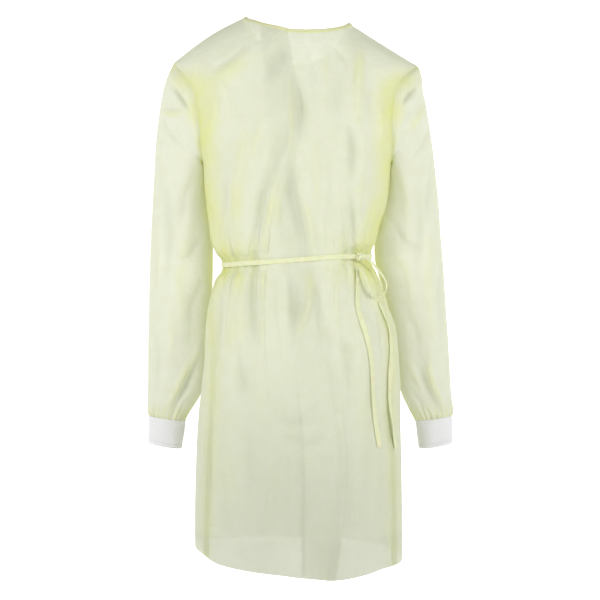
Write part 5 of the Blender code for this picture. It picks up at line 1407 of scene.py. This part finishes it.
# The loop's route, in millimetres. Columns: x, y, z
LOOP_PATH = (
    (128.5, -74.5, -471.5), (137.5, -74.2, -472.8), (149, -70, -483), (160, -66, -496), (170, -63, -510),
    (175, -63, -524), (172, -66, -537), (163, -72, -545), (153, -78, -545), (144, -84, -537),
    (137, -87, -520), (130, -88, -502), (124, -85, -490),
)
LOOP_NARROWING = 0.94
knot_base, knot_way = belt_place(np.array([KNOT_TURN]), 0.0)
knot_base = (knot_base + knot_way * (belt_stand_off(knot_base) + TIE_THICK)[:, None])[0]
knot_way = knot_way[0]
knot_across = unit(np.cross((0, 0, 1.0), knot_way))
knot_frame = np.stack([knot_across, knot_way, np.cross(knot_way, knot_across)])
knot_angle = 2 * np.pi * np.arange(KNOT_ROUND)[None, :] / KNOT_ROUND
for number, (turns, wide, thick) in enumerate(KNOT_TURNS):
    line, at = smooth_route(knot_base + (np.array(turns) / 1000) @ knot_frame, 0.0004)
    along = unit(np.gradient(line, axis=0))
    wide_way, thick_way = strip_frame(line, np.cross(along, knot_way))
    taper = 0.62 + 0.38 * np.sin(np.pi * np.linspace(0.08, 0.92, len(line)))[:, None]
    pleats = 1 + 0.10 * np.cos(7 * knot_angle + number)
    pleats = pleats + 0.05 * np.cos(11 * knot_angle + at[:, None] / 0.0012)
    x = wide / 2000 * taper * pleats * np.cos(knot_angle)
    y = thick / 2000 * taper * pleats * np.sin(knot_angle)
    sections = swept(line, wide_way, x, thick_way, y)
    wrap = closed_object("tie_knot_turn_" + str(number + 1), sections, tie_cloth, "capped")
    stand_for("tie_knot")

loop_line, loop_at = smooth_route(np.array(LOOP_PATH) / 1000, 0.0008)
loop_line = running_mean(loop_line, 5)
loop_twist = 0.30 * np.sin(loop_at / 0.021)[:, None]
loop_facing = np.array((0.35, 1.0, 0.10)) + loop_twist * np.array((0.6, 0, 0.9))
loop_wide, loop_thick = strip_frame(loop_line, loop_facing)
loop_width = TIE_WIDTH * LOOP_NARROWING
sections = strip_sections(loop_line, loop_wide, loop_thick, loop_at, loop_width, 0.00014, 1.3)
loop = closed_object("tie_loop_band", sections, tie_cloth, "capped")
stand_for("tie_loop")

# Free ends of the tie
# Two flat ends that hang from the knot on the skirt, cut off raw at the bottom.
END_CLEAR = 0.0012
# Painted shade: the free ends take a darker copy of the tie's cloth colours
END_SHADED_YELLOW = (0.735, 0.765, 0.460)
END_SHADED_PALE = (0.795, 0.820, 0.550)
# How far each raw end is cut on the slant
END_SLANT = {"tie_end_left": 0.0014, "tie_end_right": -0.0014}
# Routes on the skirt, in millimetres. Columns: x, z
TIE_ENDS = {
    "tie_end_left": (
        (116, -490), (114, -520), (115, -556), (122, -590), (132, -622), (140, -655), (143, -690),
        (142.5, -726.5), (147, -781), (155, -835),
    ),
    "tie_end_right": (
        (156, -558), (164, -580), (172, -600), (179, -625), (181.5, -655), (179, -700), (179, -745),
        (185, -805), (192, -842),
    ),
}
# Twists of the ends about their own line. Columns: height, turn in degrees, length of the twist
END_TWISTS = {
    "tie_end_left": ((-0.520, 24, 0.030), (-0.610, -28, 0.026), (-0.730, 22, 0.034), (-0.815, -18, 0.020)),
    "tie_end_right": ((-0.600, 22, 0.026), (-0.690, -26, 0.034), (-0.790, 26, 0.028)),
}


def on_skirt(x, z):
    return np.stack([x, -depth_under(x, z, RIGHT, BACK), z], axis=-1)


shaded_end_cloth = dense_cloth("tie_end_cloth", END_SHADED_YELLOW, END_SHADED_PALE)
for end_name, route in TIE_ENDS.items():
    end_line, end_at = smooth_route(np.array([(x, 0, z) for x, z in route]) / 1000, 0.0012)
    x, z = end_line[:, 0], end_line[:, 2]
    shares = np.array((-0.5, -0.25, 0, 0.25, 0.5))
    off = np.maximum(0, [cloth_raise(on_skirt(x + share * TIE_WIDTH, z)) for share in shares]).max(axis=0)
    base = on_skirt(x, z)
    end_ways = outward(base, RIGHT, BACK)
    twist = sum(turn * bell((z - level) / reach) for level, turn, reach in END_TWISTS[end_name])
    turn = np.radians(twist)[:, None]
    lift = np.abs(np.sin(np.radians(twist))) * TIE_WIDTH / 2
    off = running_mean(off[:, None], 6)[:, 0] + 0.0004
    end_line = base + end_ways * (off + lift + END_CLEAR + TIE_THICK / 2)[:, None]
    wide, thick = strip_frame(end_line, np.cross(end_ways, (0, 0, 1.0)))
    thick = thick * np.sign(np.sum(thick * end_ways, axis=-1, keepdims=True))
    end_wide = wide * np.cos(turn) + thick * np.sin(turn)
    end_thick = thick * np.cos(turn) - wide * np.sin(turn)
    sections = strip_sections(end_line, end_wide, end_thick, end_at, TIE_WIDTH, 0.00015, 2.1)
    slant = np.linspace(-1, 1, sections.shape[1] // 2 + 1)
    sections[-1, :, 2] += np.concatenate([slant, slant[-2:0:-1]]) * END_SLANT[end_name]
    tie_end = closed_object(end_name + "_strip", sections, shaded_end_cloth, "capped")
    stand_for(end_name)
